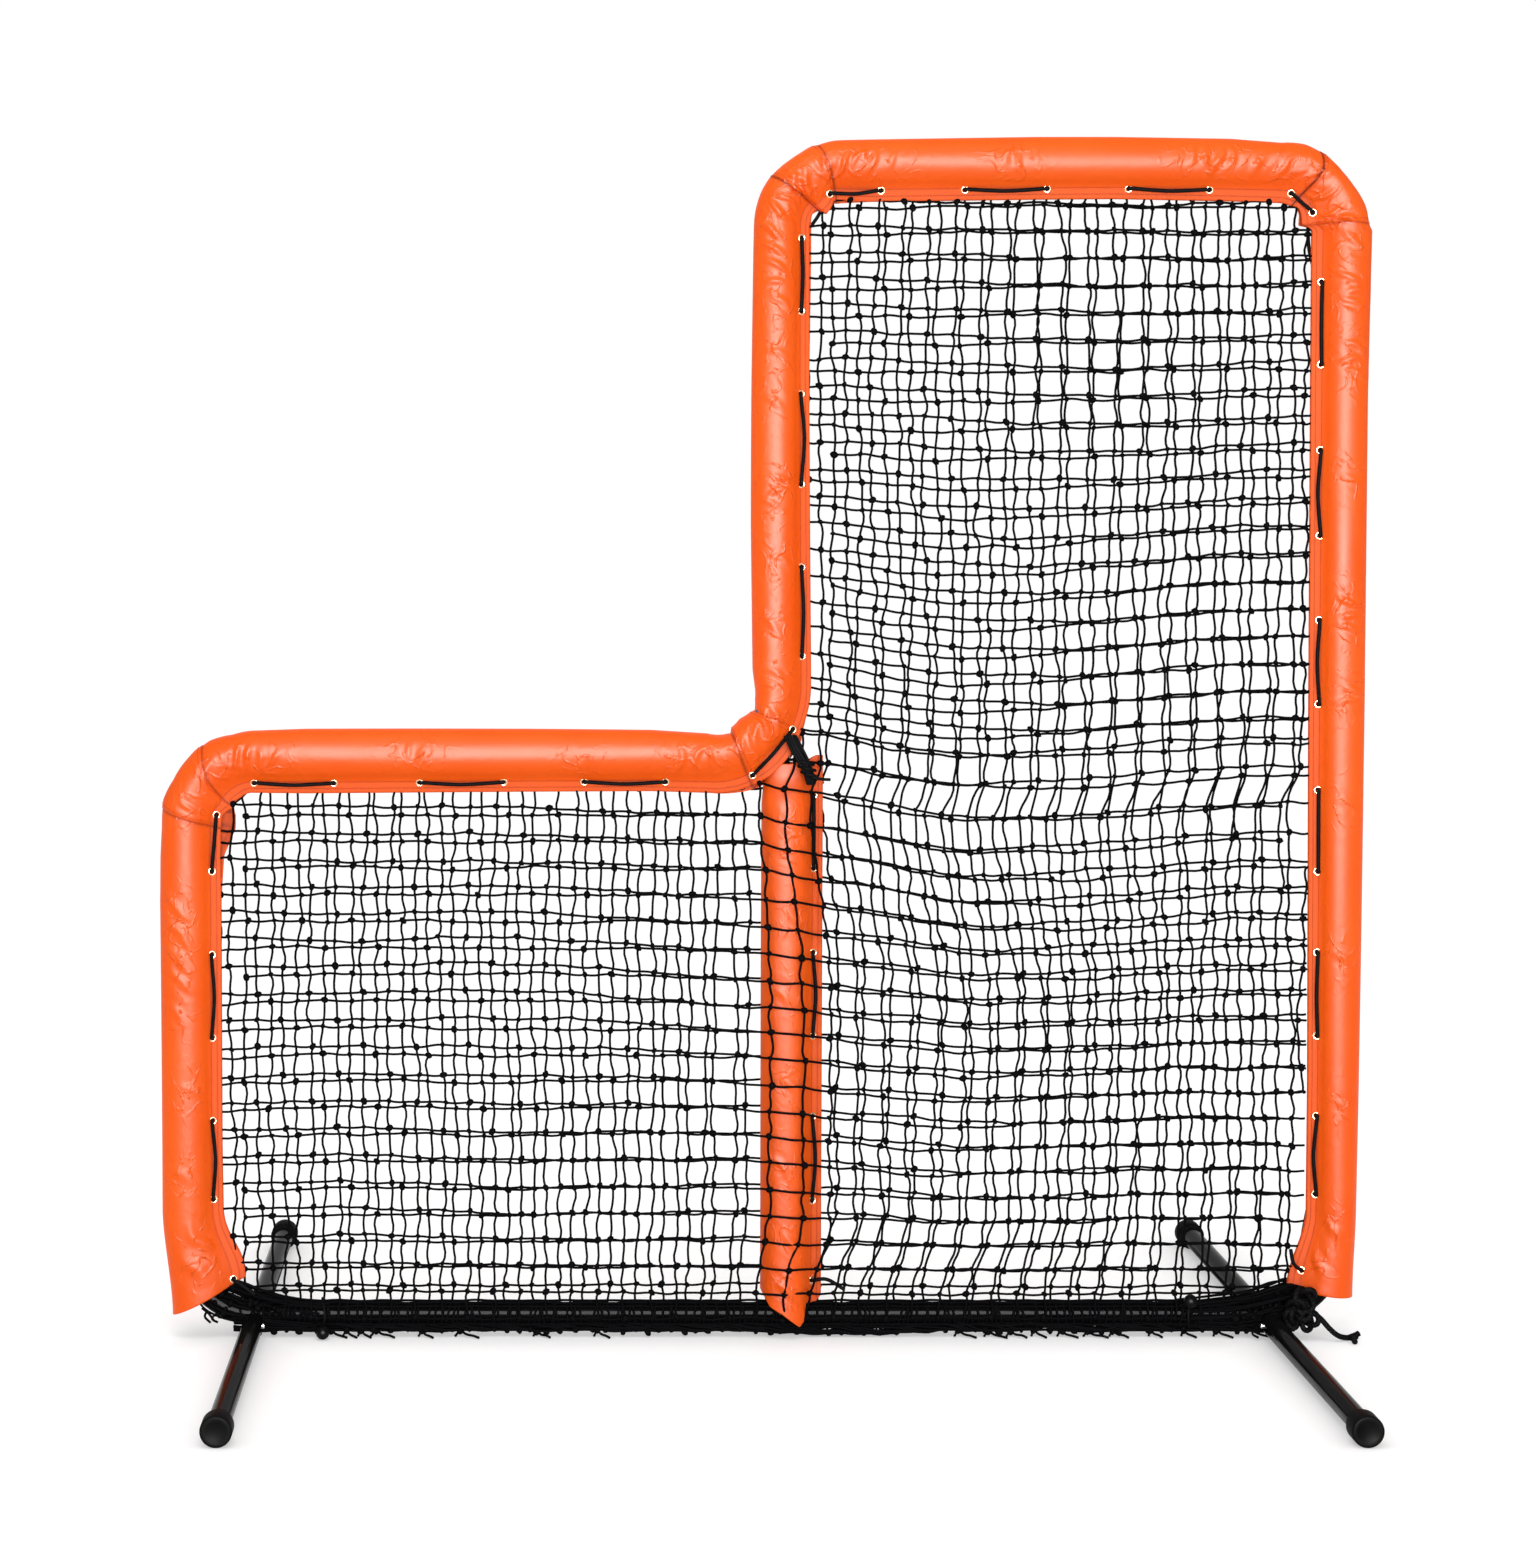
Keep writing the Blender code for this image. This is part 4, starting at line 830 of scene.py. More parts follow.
# Pinches: places on a cover's front where the cloth is gathered by the cord or by the bend. Each has its
# middle in millimetres, its lean in degrees from the run, its length in millimetres, and its width and
# height in tenths of a millimetre.
PINCHES = [(x / 1000, z / 1000, lean, length / 1000, width / 10000, height / 10000)
           for x, z, lean, length, width, height in (
    (-951, 1066, 60, 50, 50, 22), (-930, 1060, 75, 60, 55, 24), (-905, 1056, 100, 45, 50, 18),
    (-885, 1058, 60, 40, 45, 14), (-640, 1075, 95, 30, 50, 14), (-620, 1070, 70, 30, 50, 12),
    (-330, 1050, 70, 40, 60, 12), (-150, 1060, 80, 55, 60, 20), (-120, 1066, 60, 50, 50, 20),
    (-95, 1060, 105, 45, 50, 16), (-1060, 790, 40, 70, 75, 17), (-1055, 745, 42, 75, 75, 19),
    (-1058, 700, 40, 70, 75, 18), (-1052, 655, 44, 70, 70, 16), (-1060, 600, 42, 60, 70, 12),
    (-1035, 460, 60, 45, 70, 10), (-1050, 300, 50, 50, 80, 10), (-1030, 180, 35, 70, 90, 22),
    (-1045, 130, 30, 70, 90, 22), (-1000, 120, 25, 70, 80, 24), (-1005, 1035, 40, 60, 60, 12),
    (-1040, 975, 75, 35, 50, 16), (-18, 1095, 55, 60, 65, 24), (0, 1120, 70, 50, 60, 22),
    (22, 1135, 50, 45, 55, 18), (-35, 1078, 80, 45, 55, 16), (20, 1215, 55, 50, 60, 14),
    (12, 1300, 45, 50, 70, 12), (30, 1420, 60, 45, 60, 13), (10, 1520, 70, 40, 50, 14),
    (22, 1540, 105, 40, 50, 18), (30, 1560, 60, 45, 50, 15), (15, 1700, 60, 40, 60, 12),
    (20, 1790, 80, 40, 60, 14), (30, 1880, 55, 50, 60, 18), (14, 1915, 100, 40, 50, 20),
    (20, 1945, 60, 50, 55, 24), (12, 1975, 70, 50, 55, 24), (5, 2010, 60, 55, 60, 28),
    (20, 2040, 50, 65, 65, 30), (38, 2062, 85, 50, 50, 22), (50, 2105, 95, 60, 55, 24),
    (70, 2085, 60, 70, 70, 30), (95, 2120, 100, 60, 60, 20), (140, 2125, 60, 60, 55, 30),
    (165, 2140, 45, 50, 50, 24), (190, 2130, 75, 50, 55, 20), (225, 2135, 60, 40, 50, 14),
    (430, 2140, 70, 35, 55, 13), (450, 2125, 105, 35, 50, 14), (760, 2140, 70, 40, 55, 15),
    (785, 2135, 105, 50, 55, 22), (805, 2130, 65, 55, 55, 24), (830, 2135, 80, 45, 55, 18),
    (880, 2125, 60, 50, 65, 16), (925, 2120, 50, 60, 65, 18), (985, 2110, 50, 60, 60, 18),
    (1000, 2070, 75, 50, 55, 24), (1015, 2040, 100, 55, 55, 24), (1035, 2030, 60, 45, 50, 18),
    (1050, 1985, 45, 50, 60, 22), (1040, 1925, 60, 45, 50, 20), (1055, 1900, 100, 40, 50, 20),
    (1045, 1880, 70, 45, 50, 18), (1058, 1800, 60, 45, 50, 22), (1045, 1775, 100, 40, 50, 22),
    (1060, 1750, 65, 45, 50, 18), (1050, 1560, 60, 40, 60, 12), (1045, 1340, 60, 45, 50, 22),
    (1055, 1318, 100, 40, 50, 24), (1050, 1295, 65, 45, 50, 18), (1060, 1180, 60, 45, 60, 20),
    (1045, 1165, 95, 40, 50, 16), (1050, 980, 60, 40, 70, 10), (1040, 700, 55, 40, 70, 10),
    (1050, 430, 60, 40, 70, 10), (1035, 200, 40, 60, 80, 16), (1015, 140, 35, 70, 80, 22),
    (50, 930, 60, 50, 70, 16), (20, 900, 110, 50, 70, 14), (50, 780, 60, 50, 80, 14),
    (20, 640, 65, 50, 80, 14), (45, 480, 60, 50, 80, 14), (20, 330, 65, 50, 80, 14),
    (45, 200, 60, 50, 80, 16), (30, 110, 70, 50, 80, 18),
)]


def line_runs(line):
    """Return how far along a line each of its points is."""
    return np.concatenate([[0], np.cumsum(np.linalg.norm(np.diff(line, axis=0), axis=1))])


COARSE_GIRTH = line_runs(np.array(section))
COARSE_GIRTH -= COARSE_GIRTH[len(section) // 2]
FINE_GIRTH = np.linspace(COARSE_GIRTH[0], COARSE_GIRTH[-1], 2 * round(COARSE_GIRTH[-1] / FINE_STEP) + 1)


def read_rows(places, known, rows):
    """Return rows read from a table at the given places, on straight lines between the known ones."""
    return np.stack([np.interp(places, known, rows[:, k]) for k in range(rows.shape[1])], axis=1)


def cubic_rows(values, places):
    """Return rows read from a table at fractional places, on smooth curves through the rows."""
    padded = np.concatenate([2 * values[:1] - values[1:2], values, 2 * values[-1:] - values[-2:-1]])
    whole = np.clip(places.astype(int), 0, len(values) - 2)
    t = (places - whole).reshape((-1,) + (1,) * (values.ndim - 1))
    a, b, c, d = (padded[whole + k] for k in range(4))
    return (2 * b + (c - a) * t + (2 * a - 5 * b + 4 * c - d) * t ** 2 + (3 * b - a - 3 * c + d) * t ** 3) / 2


def fine_grid(rings, length):
    """Return a cover's grid of points at the fine spacing."""
    grid = np.array([[tuple(p) for p in ring] for ring in rings])
    columns = np.interp(FINE_GIRTH, COARSE_GIRTH, np.arange(len(section)))
    grid = np.swapaxes(cubic_rows(np.swapaxes(grid, 0, 1), columns), 0, 1)
    return cubic_rows(grid, np.linspace(0, len(rings) - 1, round(length / FINE_STEP) + 1))


def outward(grid, side):
    """Return the directions square to a cover's surface, away from its foam."""
    across, down = np.gradient(grid, axis=1), np.gradient(grid, axis=0)
    normals = np.cross(across, down)
    normals /= np.maximum(np.linalg.norm(normals, axis=2), 1e-9)[:, :, None]
    middle = normals[grid.shape[0] // 2, grid.shape[1] // 2]
    return normals if np.dot(middle, tuple(side)) < 0 else -normals


def pinched(name, stations, grid):
    """Push a cover's fine grid in and out at its pinches, and return it with how creased each point is."""
    share = np.linspace(0, 1, grid.shape[0])
    old = np.linspace(0, 1, len(stations))
    centres, ways = [read_rows(share, old, np.array(rows)) for rows in (
        [tuple(point) for point, _, _ in stations], [tuple(net_side(along)) for _, along, _ in stations])]
    passed = share * stations[-1][2]
    normals = outward(grid, ways[grid.shape[0] // 2])
    lift = np.zeros(grid.shape[:2])
    creased = np.zeros(grid.shape[:2])
    for x, z, lean, length, width, height in PINCHES:
        gap = np.hypot(centres[:, 0] - x, centres[:, 2] - z)
        row = int(gap.argmin())
        if gap[row] > 0.06:
            continue
        u = float(np.dot(np.array((x, 0, z)) - centres[row], ways[row]))
        girth = -PAD_R * math.acos(max(-1.0, min(1.0, -u / PAD_R)))
        a = passed[:, None] - passed[row]
        b = FINE_GIRTH[None, :] - girth
        turn = math.radians(lean)
        run_along = a * math.cos(turn) + b * math.sin(turn)
        across = -a * math.sin(turn) + b * math.cos(turn)
        bow = 7.0 * math.sin(x * 91 + z * 57)
        across = across + 0.0022 * np.sin(run_along / 0.0085 + x * 70) - run_along ** 2 * bow
        taper = np.clip(1 - (run_along / (0.62 * length)) ** 2, 0, 1) ** 1.2
        ridge = np.exp(-np.abs(across / width) ** 1.6)
        trough = np.exp(-((np.abs(across) - 1.75 * width) / (1.1 * width)) ** 2)
        lift += 1.35 * height * taper * (ridge - 0.5 * trough)
        creased = np.maximum(creased, np.exp(-((a / 0.045) ** 2 + (b / 0.040) ** 2)))
    flat = 1 - np.clip((np.abs(FINE_GIRTH) - 0.108) / 0.010, 0, 1)
    for row in range(grid.shape[0]):
        for column in range(0, grid.shape[1]):
            mask = 0.05 + creased[row, column]
            spot = Vector((passed[row] * 26, FINE_GIRTH[column] * 17, len(name) * 3.7))
            spot += 0.35 * Vector((noise.noise(spot * 2), noise.noise(spot * 2 + Vector((9, 4, 1))), 0))
            fold = 1 - abs(noise.noise(spot)) * 2
            lift[row, column] += 0.0007 * mask * (fold ** 3 if fold > 0 else 0)
    return grid + normals * (lift * flat[None, :])[:, :, None], creased * flat[None, :]


def centre_mouth(u, v):
    """Return how high the middle sleeve's lower edge is at a place of its section."""
    height = np.interp(u, (-0.0425, -0.027, -0.005, 0.028, 0.050, 0.0685),
                       (0.086, 0.060, 0.048, 0.022, 0.052, 0.074))
    return max(height, 0.0625) if abs(v) < 0.0225 else height


def drawn_in(u, outer, hem):
    """Return where a section's point goes when its outer edge and its hem lie nearer the net."""
    if u < 0:
        return u * (PAD_R - outer) / PAD_R
    return u * (FLAP_REACH + hem) / FLAP_REACH if hem < 0 else u + hem * wave(0.015, FLAP_REACH, u)


def lie_at(place):
    """Return how far the outer edge, the hems and the rear hem lie to the net at a place of the path."""
    return [float(np.interp(place, lie_table[0], row)) for row in lie_table[1:]]


def cover_point(name, point, along, u, v, lie, lift):
    """Return where a point of a sleeve's section lies at one place of the frame."""
    outer, hem, rear = lie
    swell = 1 + lift / PAD_R if u < 0.046 else 1
    off = v * swell + (math.copysign(lift, v) if u >= 0.046 else 0)
    aside = drawn_in(u, outer, hem) * swell
    if v > 0:
        aside += rear * wave(0.030, FLAP_REACH, u)
    place = point + net_side(along) * aside
    if u > 0.030 and name in ("inner", "low", "tall") and abs(place.x - CENTRE_X) < 0.052:
        spread = 1 - wave(0.018, 0.052, abs(place.x - CENTRE_X))
        spread *= 1 - wave(LOW_Z - 0.010, LOW_Z + 0.035, place.z)
        off = math.copysign(abs(off) + max(0.0, 0.0245 - abs(off)) * spread, off)
    return place + REAR * off


def centre_place(x, share, u, v):
    """Return where a point of the middle sleeve's section lies, at a share of the way up its post."""
    low = centre_mouth(u, v)
    high = LOW_Z - 0.020 + 0.014 * wave(0.03, 0.06, u)
    z = low + (high - low) * share
    tuck = wave(LOW_Z - 0.100, LOW_Z - 0.035, z)
    flat = 1 - 0.47 * tuck if abs(v) > 0.006 else 1
    return Vector((x + CENTRE_LEAN + u * (1 - 0.12 * tuck * (u < 0)), v * flat, z))


CENTRE_LEAN = 0.010
cover_grids = {}
for name, runs in cover_runs.items():
    stations = run_stations(runs, CLOTH_STEP)
    length = stations[-1][2]
    rings = []
    for row, (point, along, passed) in enumerate(stations):
        if name == "centre":
            rings.append([centre_place(point.x, passed / length, u, v) for u, v in section])
        elif name in SEAMS:
            share = row / (len(stations) - 1)
            ring = []
            for u, v in section:
                low_turn = seam_turn(name, 0, u)
                turn = low_turn + (seam_turn(name, 1, u) - low_turn) * share
                here, way = turned_place(name, turn)
                lift = 0.0012 + 0.0022 * wave(0, 0.010, min(passed, length - passed))
                lie = lie_at(BEND_START[name] + BEND_RUN * turn / 90)
                ring.append(cover_point(name, here, way, u, v, lie, lift))
            rings.append(ring)
        else:
            lie = lie_at(path_place(point))
            rings.append([cover_point(name, point, along, u, v, lie, 0.0) for u, v in section])
    cover_grids[name] = (stations, rings)

# Loose ends of the two long sleeves: no foam fills them, so they hang straighter than the bent tube and
# are cut aslant. The middle sleeve is cut to a point that hangs over the bottom rail.
def hang_end(name, at_start, outer, hem, depth):
    """Draw a sleeve's end ring to the two given points, with the pull fading over a depth."""
    stations, rings = cover_grids[name]
    order = range(len(rings)) if at_start else range(len(rings) - 1, -1, -1)
    first = order[0]
    side = (hem - outer) / (PAD_R + FLAP_REACH)
    middle = outer + side * PAD_R
    moved = [middle + side * u + REAR * v for u, v in section]
    shifts = [new - old for new, old in zip(moved, rings[first])]
    for index in order:
        far = abs(stations[index][2] - stations[first][2])
        if far > depth:
            break
        share = 1 - wave(0, depth, far)
        rings[index] = [point + shift * share for point, shift in zip(rings[index], shifts)]


hang_end("left", True, Vector((-1.0755, 0, 0.0390)), Vector((-0.9420, 0, 0.1070)), 0.170)
hang_end("right", False, Vector((1.0800, 0, 0.0740)), Vector((0.9620, 0, 0.0880)), 0.150)

CLOTH_FRAMES = 15
CLOTH_REACH = 0.006


def settled(name, stations, rings):
    """Let a sleeve's cloth take up its slack over the foam while its hems are held, and return its rings."""
    count = len(section)
    mesh = loft(name + "_cloth", rings, closed_round=False)
    mesh.flip_normals()
    piece = add_piece(name + "_cloth", mesh)
    held = piece.vertex_groups.new(name="held")
    slack = piece.vertex_groups.new(name="slack")
    length = stations[-1][2]
    for row, (point, along, passed) in enumerate(stations):
        near_bend = max(1 - wave(0.10, 0.24, (point - CORNERS[corner][0]).length) for corner in SEAMS)
        pinch = max([1 - wave(0.01, 0.05, math.hypot(point.x - x, point.z - z)) for x, z, *_ in PINCHES])
        loose = 0.04 + 0.96 * max(near_bend, 0.5 * pinch)
        end = min(passed, length - passed)
        for slot, (u, v) in enumerate(section):
            hold = max(wave(0.036, 0.050, u), 1 - wave(0.0, 0.010 if name in SEAMS else 0.034, end))
            held.add([row * count + slot], hold, "REPLACE")
            slack.add([row * count + slot], loose * (1 - wave(0.030, 0.045, u)), "REPLACE")
    cloth = piece.modifiers.new("cloth", "CLOTH")
    for key, value in dict(
            quality=4, mass=0.25, tension_stiffness=25, compression_stiffness=25, shear_stiffness=8,
            bending_stiffness=0.06, tension_damping=8, compression_damping=8, air_damping=1.5,
            vertex_group_mass="held", pin_stiffness=1, use_pressure=True, uniform_pressure_force=2.2,
            vertex_group_shrink="slack", shrink_min=0.0, shrink_max=-0.055).items():
        setattr(cloth.settings, key, value)
    cloth.settings.effector_weights.gravity = 0
    cloth.collision_settings.use_collision = False
    cloth.point_cache.frame_start, cloth.point_cache.frame_end = 1, CLOTH_FRAMES
    for frame_now in range(1, CLOTH_FRAMES + 1):
        scene.frame_set(frame_now)
    posed = piece.evaluated_get(bpy.context.evaluated_depsgraph_get())
    places = np.empty(len(mesh.vertices) * 3)
    posed.data.vertices.foreach_get("co", places)
    scene.frame_set(1)
    start = np.array([[tuple(p) for p in ring] for ring in rings])
    moved = places.reshape(start.shape) - start
    far = np.linalg.norm(moved, axis=2, keepdims=True)
    moved *= np.minimum(1, CLOTH_REACH / np.maximum(far, 1e-9))
    bpy.data.objects.remove(piece)
    return [[Vector(p) for p in ring] for ring in start + moved]


fine_covers = {}
for name, (stations, rings) in cover_grids.items():
    rings = settled(name, stations, rings)
    cover_grids[name] = (stations, rings)
    fine_covers[name] = pinched(name, stations, fine_grid(rings, stations[-1][2]))

EYELET_U = 0.0520
EYELET_OUTER, EYELET_INNER = 0.0074, 0.0047
EYELET_CUT = 0.0036
eyelet_marks = [
    ("left", "z", (0.105, 0.252, 0.396, 0.548, 0.700, 0.852)), ("left", "z", (0.955,)),
    ("low", "x", tuple(LEFT_X + far for far in (0.126, 0.270, 0.426, 0.578, 0.724, 0.871))),
    ("inner", "share", (0.06, 0.97)), ("tall", "z", (1.243, 1.404, 1.554, 1.716, 1.865, 1.996)),
    ("top_left", "share", (0.80,)),
    ("top", "x", tuple(TALL_X + far for far in (0.190, 0.341, 0.488, 0.635, 0.780, 0.927))),
    ("top_right", "share", (0.62,)),
    ("right", "z", (1.917, 1.769, 1.615, 1.461, 1.308, 1.156, 1.000, 0.852, 0.704, 0.552, 0.405, 0.261,
                    0.121)),
]
centre_marks = [("centre", "z", (0.103, 0.250, 0.404, 0.552, 0.704, 0.858, 0.990))]
HEM_COLUMN = min(range(len(section) // 2), key=lambda index: abs(section[index][0] - EYELET_U))


def hem_point(name, how, value):
    """Return where an eyelet sits on a front hem, its half gap, the run there and the way to the net."""
    stations, rings = cover_grids[name]
    hem = [(ring[HEM_COLUMN] + ring[len(section) - 1 - HEM_COLUMN]) / 2 for ring in rings]
    gaps = [abs(ring[HEM_COLUMN].y - ring[len(section) - 1 - HEM_COLUMN].y) / 2 for ring in rings]
    if how == "share":
        keys = [passed / stations[-1][2] for _, _, passed in stations]
    else:
        keys = [getattr(point, how) for point in hem]
    rising = keys[-1] > keys[0]
    order = np.arange(len(keys)) if rising else np.arange(len(keys))[::-1]
    place = float(np.interp(value, np.array(keys)[order], order))
    index = min(int(place), len(hem) - 2)
    along = (hem[index + 1] - hem[index]).normalized()
    gap = gaps[index] + (gaps[index + 1] - gaps[index]) * (place - index)
    return hem[index].lerp(hem[index + 1], place - index), gap, along, net_side(along)


outer_eyelets, centre_eyelets = [
    [hem_point(name, how, value) for name, how, values in marks for value in values]
    for marks in (eyelet_marks, centre_marks)]
all_eyelets = outer_eyelets + centre_eyelets

STITCH_ROWS = (0.0085, 0.0220)
# How dark the painted shade is beside each gusset's lower and upper end, where its edge shadows the sleeve
# under it.
SEAM_SHADES = {"lower_left": (0.50, 0.55), "inner": (0.65, 0.25), "top_left": (0.85, 0.75),
               "top_right": (1.0, 0.40)}
seam_points, seam_shades = [], []
for name, shades in SEAM_SHADES.items():
    for row, strength in zip((0, -1), shades):
        seam_points += list(fine_covers[name][0][row])
        seam_shades += [strength] * fine_covers[name][0].shape[1]
seam_tree = kdtree.KDTree(len(seam_points))
for index, point in enumerate(seam_points):
    seam_tree.insert(point, index)
seam_tree.balance()


def shade_of(name, fine):
    """Return how dark each point of a cover is painted, as shade in the folds by a seam and in the rows
    pressed by stitches.
    """
    painted_shade = np.zeros(fine.shape[:2])
    for inset in STITCH_ROWS:
        for place in (inset - FINE_GIRTH[-1], FINE_GIRTH[-1] - inset):
            painted_shade[:, int(np.abs(FINE_GIRTH - place).argmin())] = 0.20
    if name in SEAMS:
        for row, after, strength in zip((0, -1), (1, -2), SEAM_SHADES[name]):
            painted_shade[row] = 0.55 * strength
            painted_shade[after] = 0.20 * strength
        return painted_shade
    middle = fine[:, fine.shape[1] // 2]
    for row in range(fine.shape[0]):
        if seam_tree.find(middle[row])[2] < 0.12:
            for column in range(fine.shape[1]):
                _, index, gap = seam_tree.find(fine[row, column])
                dark = min(1.0, 1.25 * math.exp(-(gap / 0.0034) ** 2)) * seam_shades[index]
                painted_shade[row, column] = max(painted_shade[row, column], dark)
    return painted_shade


COVER_THICK = 0.0011
for name, (fine, creased) in fine_covers.items():
    mesh = loft(name, [[Vector(p) for p in row] for row in fine], closed_round=False)
    hemmed = np.clip((np.abs(FINE_GIRTH) - FINE_GIRTH[-1] + 0.024) / 0.005, 0, 1)
    mark(mesh, "creased", creased.ravel())
    mark(mesh, "hemmed", np.tile(hemmed, fine.shape[0]))
    # The 'shaded' mark carries the painted shade of the seams and the stitch rows.
    mark(mesh, "shaded", shade_of(name, fine).ravel())
    mesh.flip_normals()
    mesh.shade_smooth()
    piece = add_piece(name + "_sleeve", mesh, vinyl)
    bm = bmesh.new()
    bm.from_mesh(mesh)
    holes = []
    for face in bm.faces:
        middle = face.calc_center_median()
        for place, *_ in all_eyelets:
            off = middle - place
            if abs(off.x) < 0.006 and abs(off.z) < 0.006 and math.hypot(off.x, off.z) < EYELET_CUT:
                holes.append(face)
                break
    bmesh.ops.delete(bm, geom=holes, context="FACES")
    bm.to_mesh(mesh)
    bm.free()
    wall = piece.modifiers.new("wall", "SOLIDIFY")
    wall.thickness, wall.offset = COVER_THICK, -1
    declare(piece, "orange_vinyl", name + "_cover")


# Many small pieces: one shape is set at each point and turned to that point's own 'facing'.
scatter_tree, given, painted = new_shape_tree("scatter", Model="Object")
facing = new_node(scatter_tree, "GeometryNodeInputNamedAttribute", {"Name": "facing"},
                  data_type="FLOAT_VECTOR")
model = new_node(scatter_tree, "GeometryNodeObjectInfo", {"Object": given["Model"]})
placed = new_node(scatter_tree, "GeometryNodeInstanceOnPoints", {
    "Points": given["Geometry"], "Instance": model.outputs["Geometry"],
    "Rotation": new_node(scatter_tree, "FunctionNodeAlignRotationToVector", {"Vector": facing}, axis="Z")})
give(painted, {"Geometry": new_node(scatter_tree, "GeometryNodeRealizeInstances", {0: placed})})


def scattered(name, shape, spots, ways, material):
    """Set a small shape at many places, each facing its own way, as one plain mesh."""
    model = bpy.data.objects.new(name + "_model", shape)
    points = mesh_of(name + "_points", spots, [])
    points.attributes.new("facing", "FLOAT_VECTOR", "POINT").data.foreach_set("vector", np.ravel(ways))
    piece = grown(name, points, scatter_tree, Model=model, Material=material)
    bpy.data.objects.remove(model)
    piece.data.shade_smooth()
    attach(piece, "root")


# Stitching: two rows of thread along each hem and one along each end of a gusset, by a sewing machine.
thread = paint("stitch_thread", 0.05, 400.0, 0.3, 0.7,
               ((0.50, 0.040, 0.002), (0.64, 0.060, 0.003)), (0.6, 0.8))
STITCH_PITCH = 0.0046


def sewn(line, normals):
    """Return even stitches along a line of points on a cover, as their places and ways."""
    run = line_runs(line)
    places = np.arange(STITCH_PITCH, run[-1] - STITCH_PITCH, STITCH_PITCH)

    def read(values, shift=0.0):
        """Read a row of vectors at the stitches' places."""
        return read_rows(places + shift, run, values)

    return read(line) + read(normals) * 0.0003, read(line, 0.001) - read(line)


stitches = []
for name, (fine, _) in fine_covers.items():
    stations = cover_grids[name][0]
    normals = outward(fine, tuple(net_side(stations[len(stations) // 2][1])))
    for back in STITCH_ROWS:
        inset = FINE_GIRTH[-1] - back
        for place in (-inset, inset):
            column = int(np.abs(FINE_GIRTH - place).argmin())
            stitches.append(sewn(fine[:, column], normals[:, column]))
    if name in SEAMS:
        stitches += [sewn(fine[row, 4:-4], normals[row, 4:-4]) for row in (2, -3)]
stitch_shape = loft("stitch", [ring_round(Vector((0, 0, far)), RIGHT, REAR, radius, 5) for far, radius in (
    (-0.0017, 0.0002), (-0.0012, 0.00042), (0.0012, 0.00042), (0.0017, 0.0002))], cap_ends=True)
scattered("stitches", stitch_shape, *[np.concatenate(part) for part in zip(*stitches)], thread)

# Foam: closed-cell sleeves slipped over the tubes, which fill the covers and stop short of their ends.
foam_finish = paint("sleeve_foam", 0.05, 60.0, 0.35, 0.70,
                    ((0.10, 0.10, 0.11), (0.17, 0.17, 0.18)), (0.85, 0.95))
grained(foam_finish, "ShaderNodeTexVoronoi", 0.5, 0.0006, Scale=700.0)
foam_runs = {
    "left": [post_run(LEFT_X, RAIL_Z + BEND + 0.02, LOW_Z - BEND)],
    "low": [bend("lower_left", 0, 90), straight("lower_left", "inner"), bend("inner", 0, 90)],
    "tall": [straight("inner", "top_left")],
    "top": [bend("top_left", 0, 90), straight("top_left", "top_right"), bend("top_right", 0, 90)],
    "right": [post_run(RIGHT_X, TOP_Z - BEND, RAIL_Z + BEND)],
    "centre": [post_run(CENTRE_X, RAIL_Z + 0.060, LOW_Z - 0.110)],
}
FOAM_R = PAD_R - 0.0060
FOAM_WALL = 0.0008
FOAM_LEAN = 0.008
FOAM_SIDES = 40
for name, runs in foam_runs.items():
    outside, inside = [], []
    shift = RIGHT * FOAM_LEAN if name == "centre" else Vector()
    for point, along, _ in run_stations(runs, 0.010):
        outer, hem, _ = (0.0, 0.0, 0.0) if name == "centre" else lie_at(path_place(point))
        outer_ring, inner_ring = [], []
        for step in range(FOAM_SIDES):
            turn = 2 * math.pi * step / FOAM_SIDES
            way = net_side(along) * math.cos(turn) + REAR * math.sin(turn)
            u = FOAM_R * math.cos(turn)
            wide = min(abs(u), abs(drawn_in(u, outer, min(hem, 0))))
            reach = Vector((wide, FOAM_R * abs(math.sin(turn)))).length
            outer_ring.append(point + shift + way * max(reach, TUBE_R + FOAM_WALL * 2))
            inner_ring.append(point + way * (TUBE_R + 0.0003))
        outside.append(outer_ring)
        inside.append(inner_ring)
    mesh = loft(name + "_foam_sleeve", outside + inside[::-1] + outside[:1])
    piece = add_piece(name + "_foam_sleeve", cleaned(mesh, 1e-6, 35), foam_finish)
    declare(piece, "grey_foam", name + "_foam")

# Eyelets: brass rings, pressed through each hem in pairs, front and rear, so that the lace can pass.
brass = paint("eyelet_brass", 0.5, 220.0, 0.3, 0.7,
              ((0.72, 0.60, 0.40), (0.60, 0.46, 0.28)), (0.25, 0.40), metal=1.0)
EYELET_HIGH = 0.0013
EYELET_DEEP = 0.0026
middle_r, half_r = (EYELET_OUTER + EYELET_INNER) / 2, (EYELET_OUTER - EYELET_INNER) / 2
ring_profile = [(middle_r - half_r * math.cos(math.pi * step / 8), EYELET_HIGH * math.sin(math.pi * step / 8))
                for step in range(9)]
ring_profile += [(EYELET_INNER + 0.0004, -EYELET_DEEP), (EYELET_INNER, -EYELET_DEEP)]
eyelet_rings = [ring_round(Vector((0, 0, height)), RIGHT, REAR, radius, 20)
                for radius, height in reversed(ring_profile)]
spots, ways = [], []
for place, gap, along, to_net in all_eyelets:
    for side in (FRONT, REAR):
        spots.append(place + side * (gap + 0.0004))
        ways.append(tuple(side + to_net * FLAP_SLOPE))
scattered("eyelets", cleaned(loft("eyelet", eyelet_rings + eyelet_rings[:1]), 1e-7), spots, ways, brass)

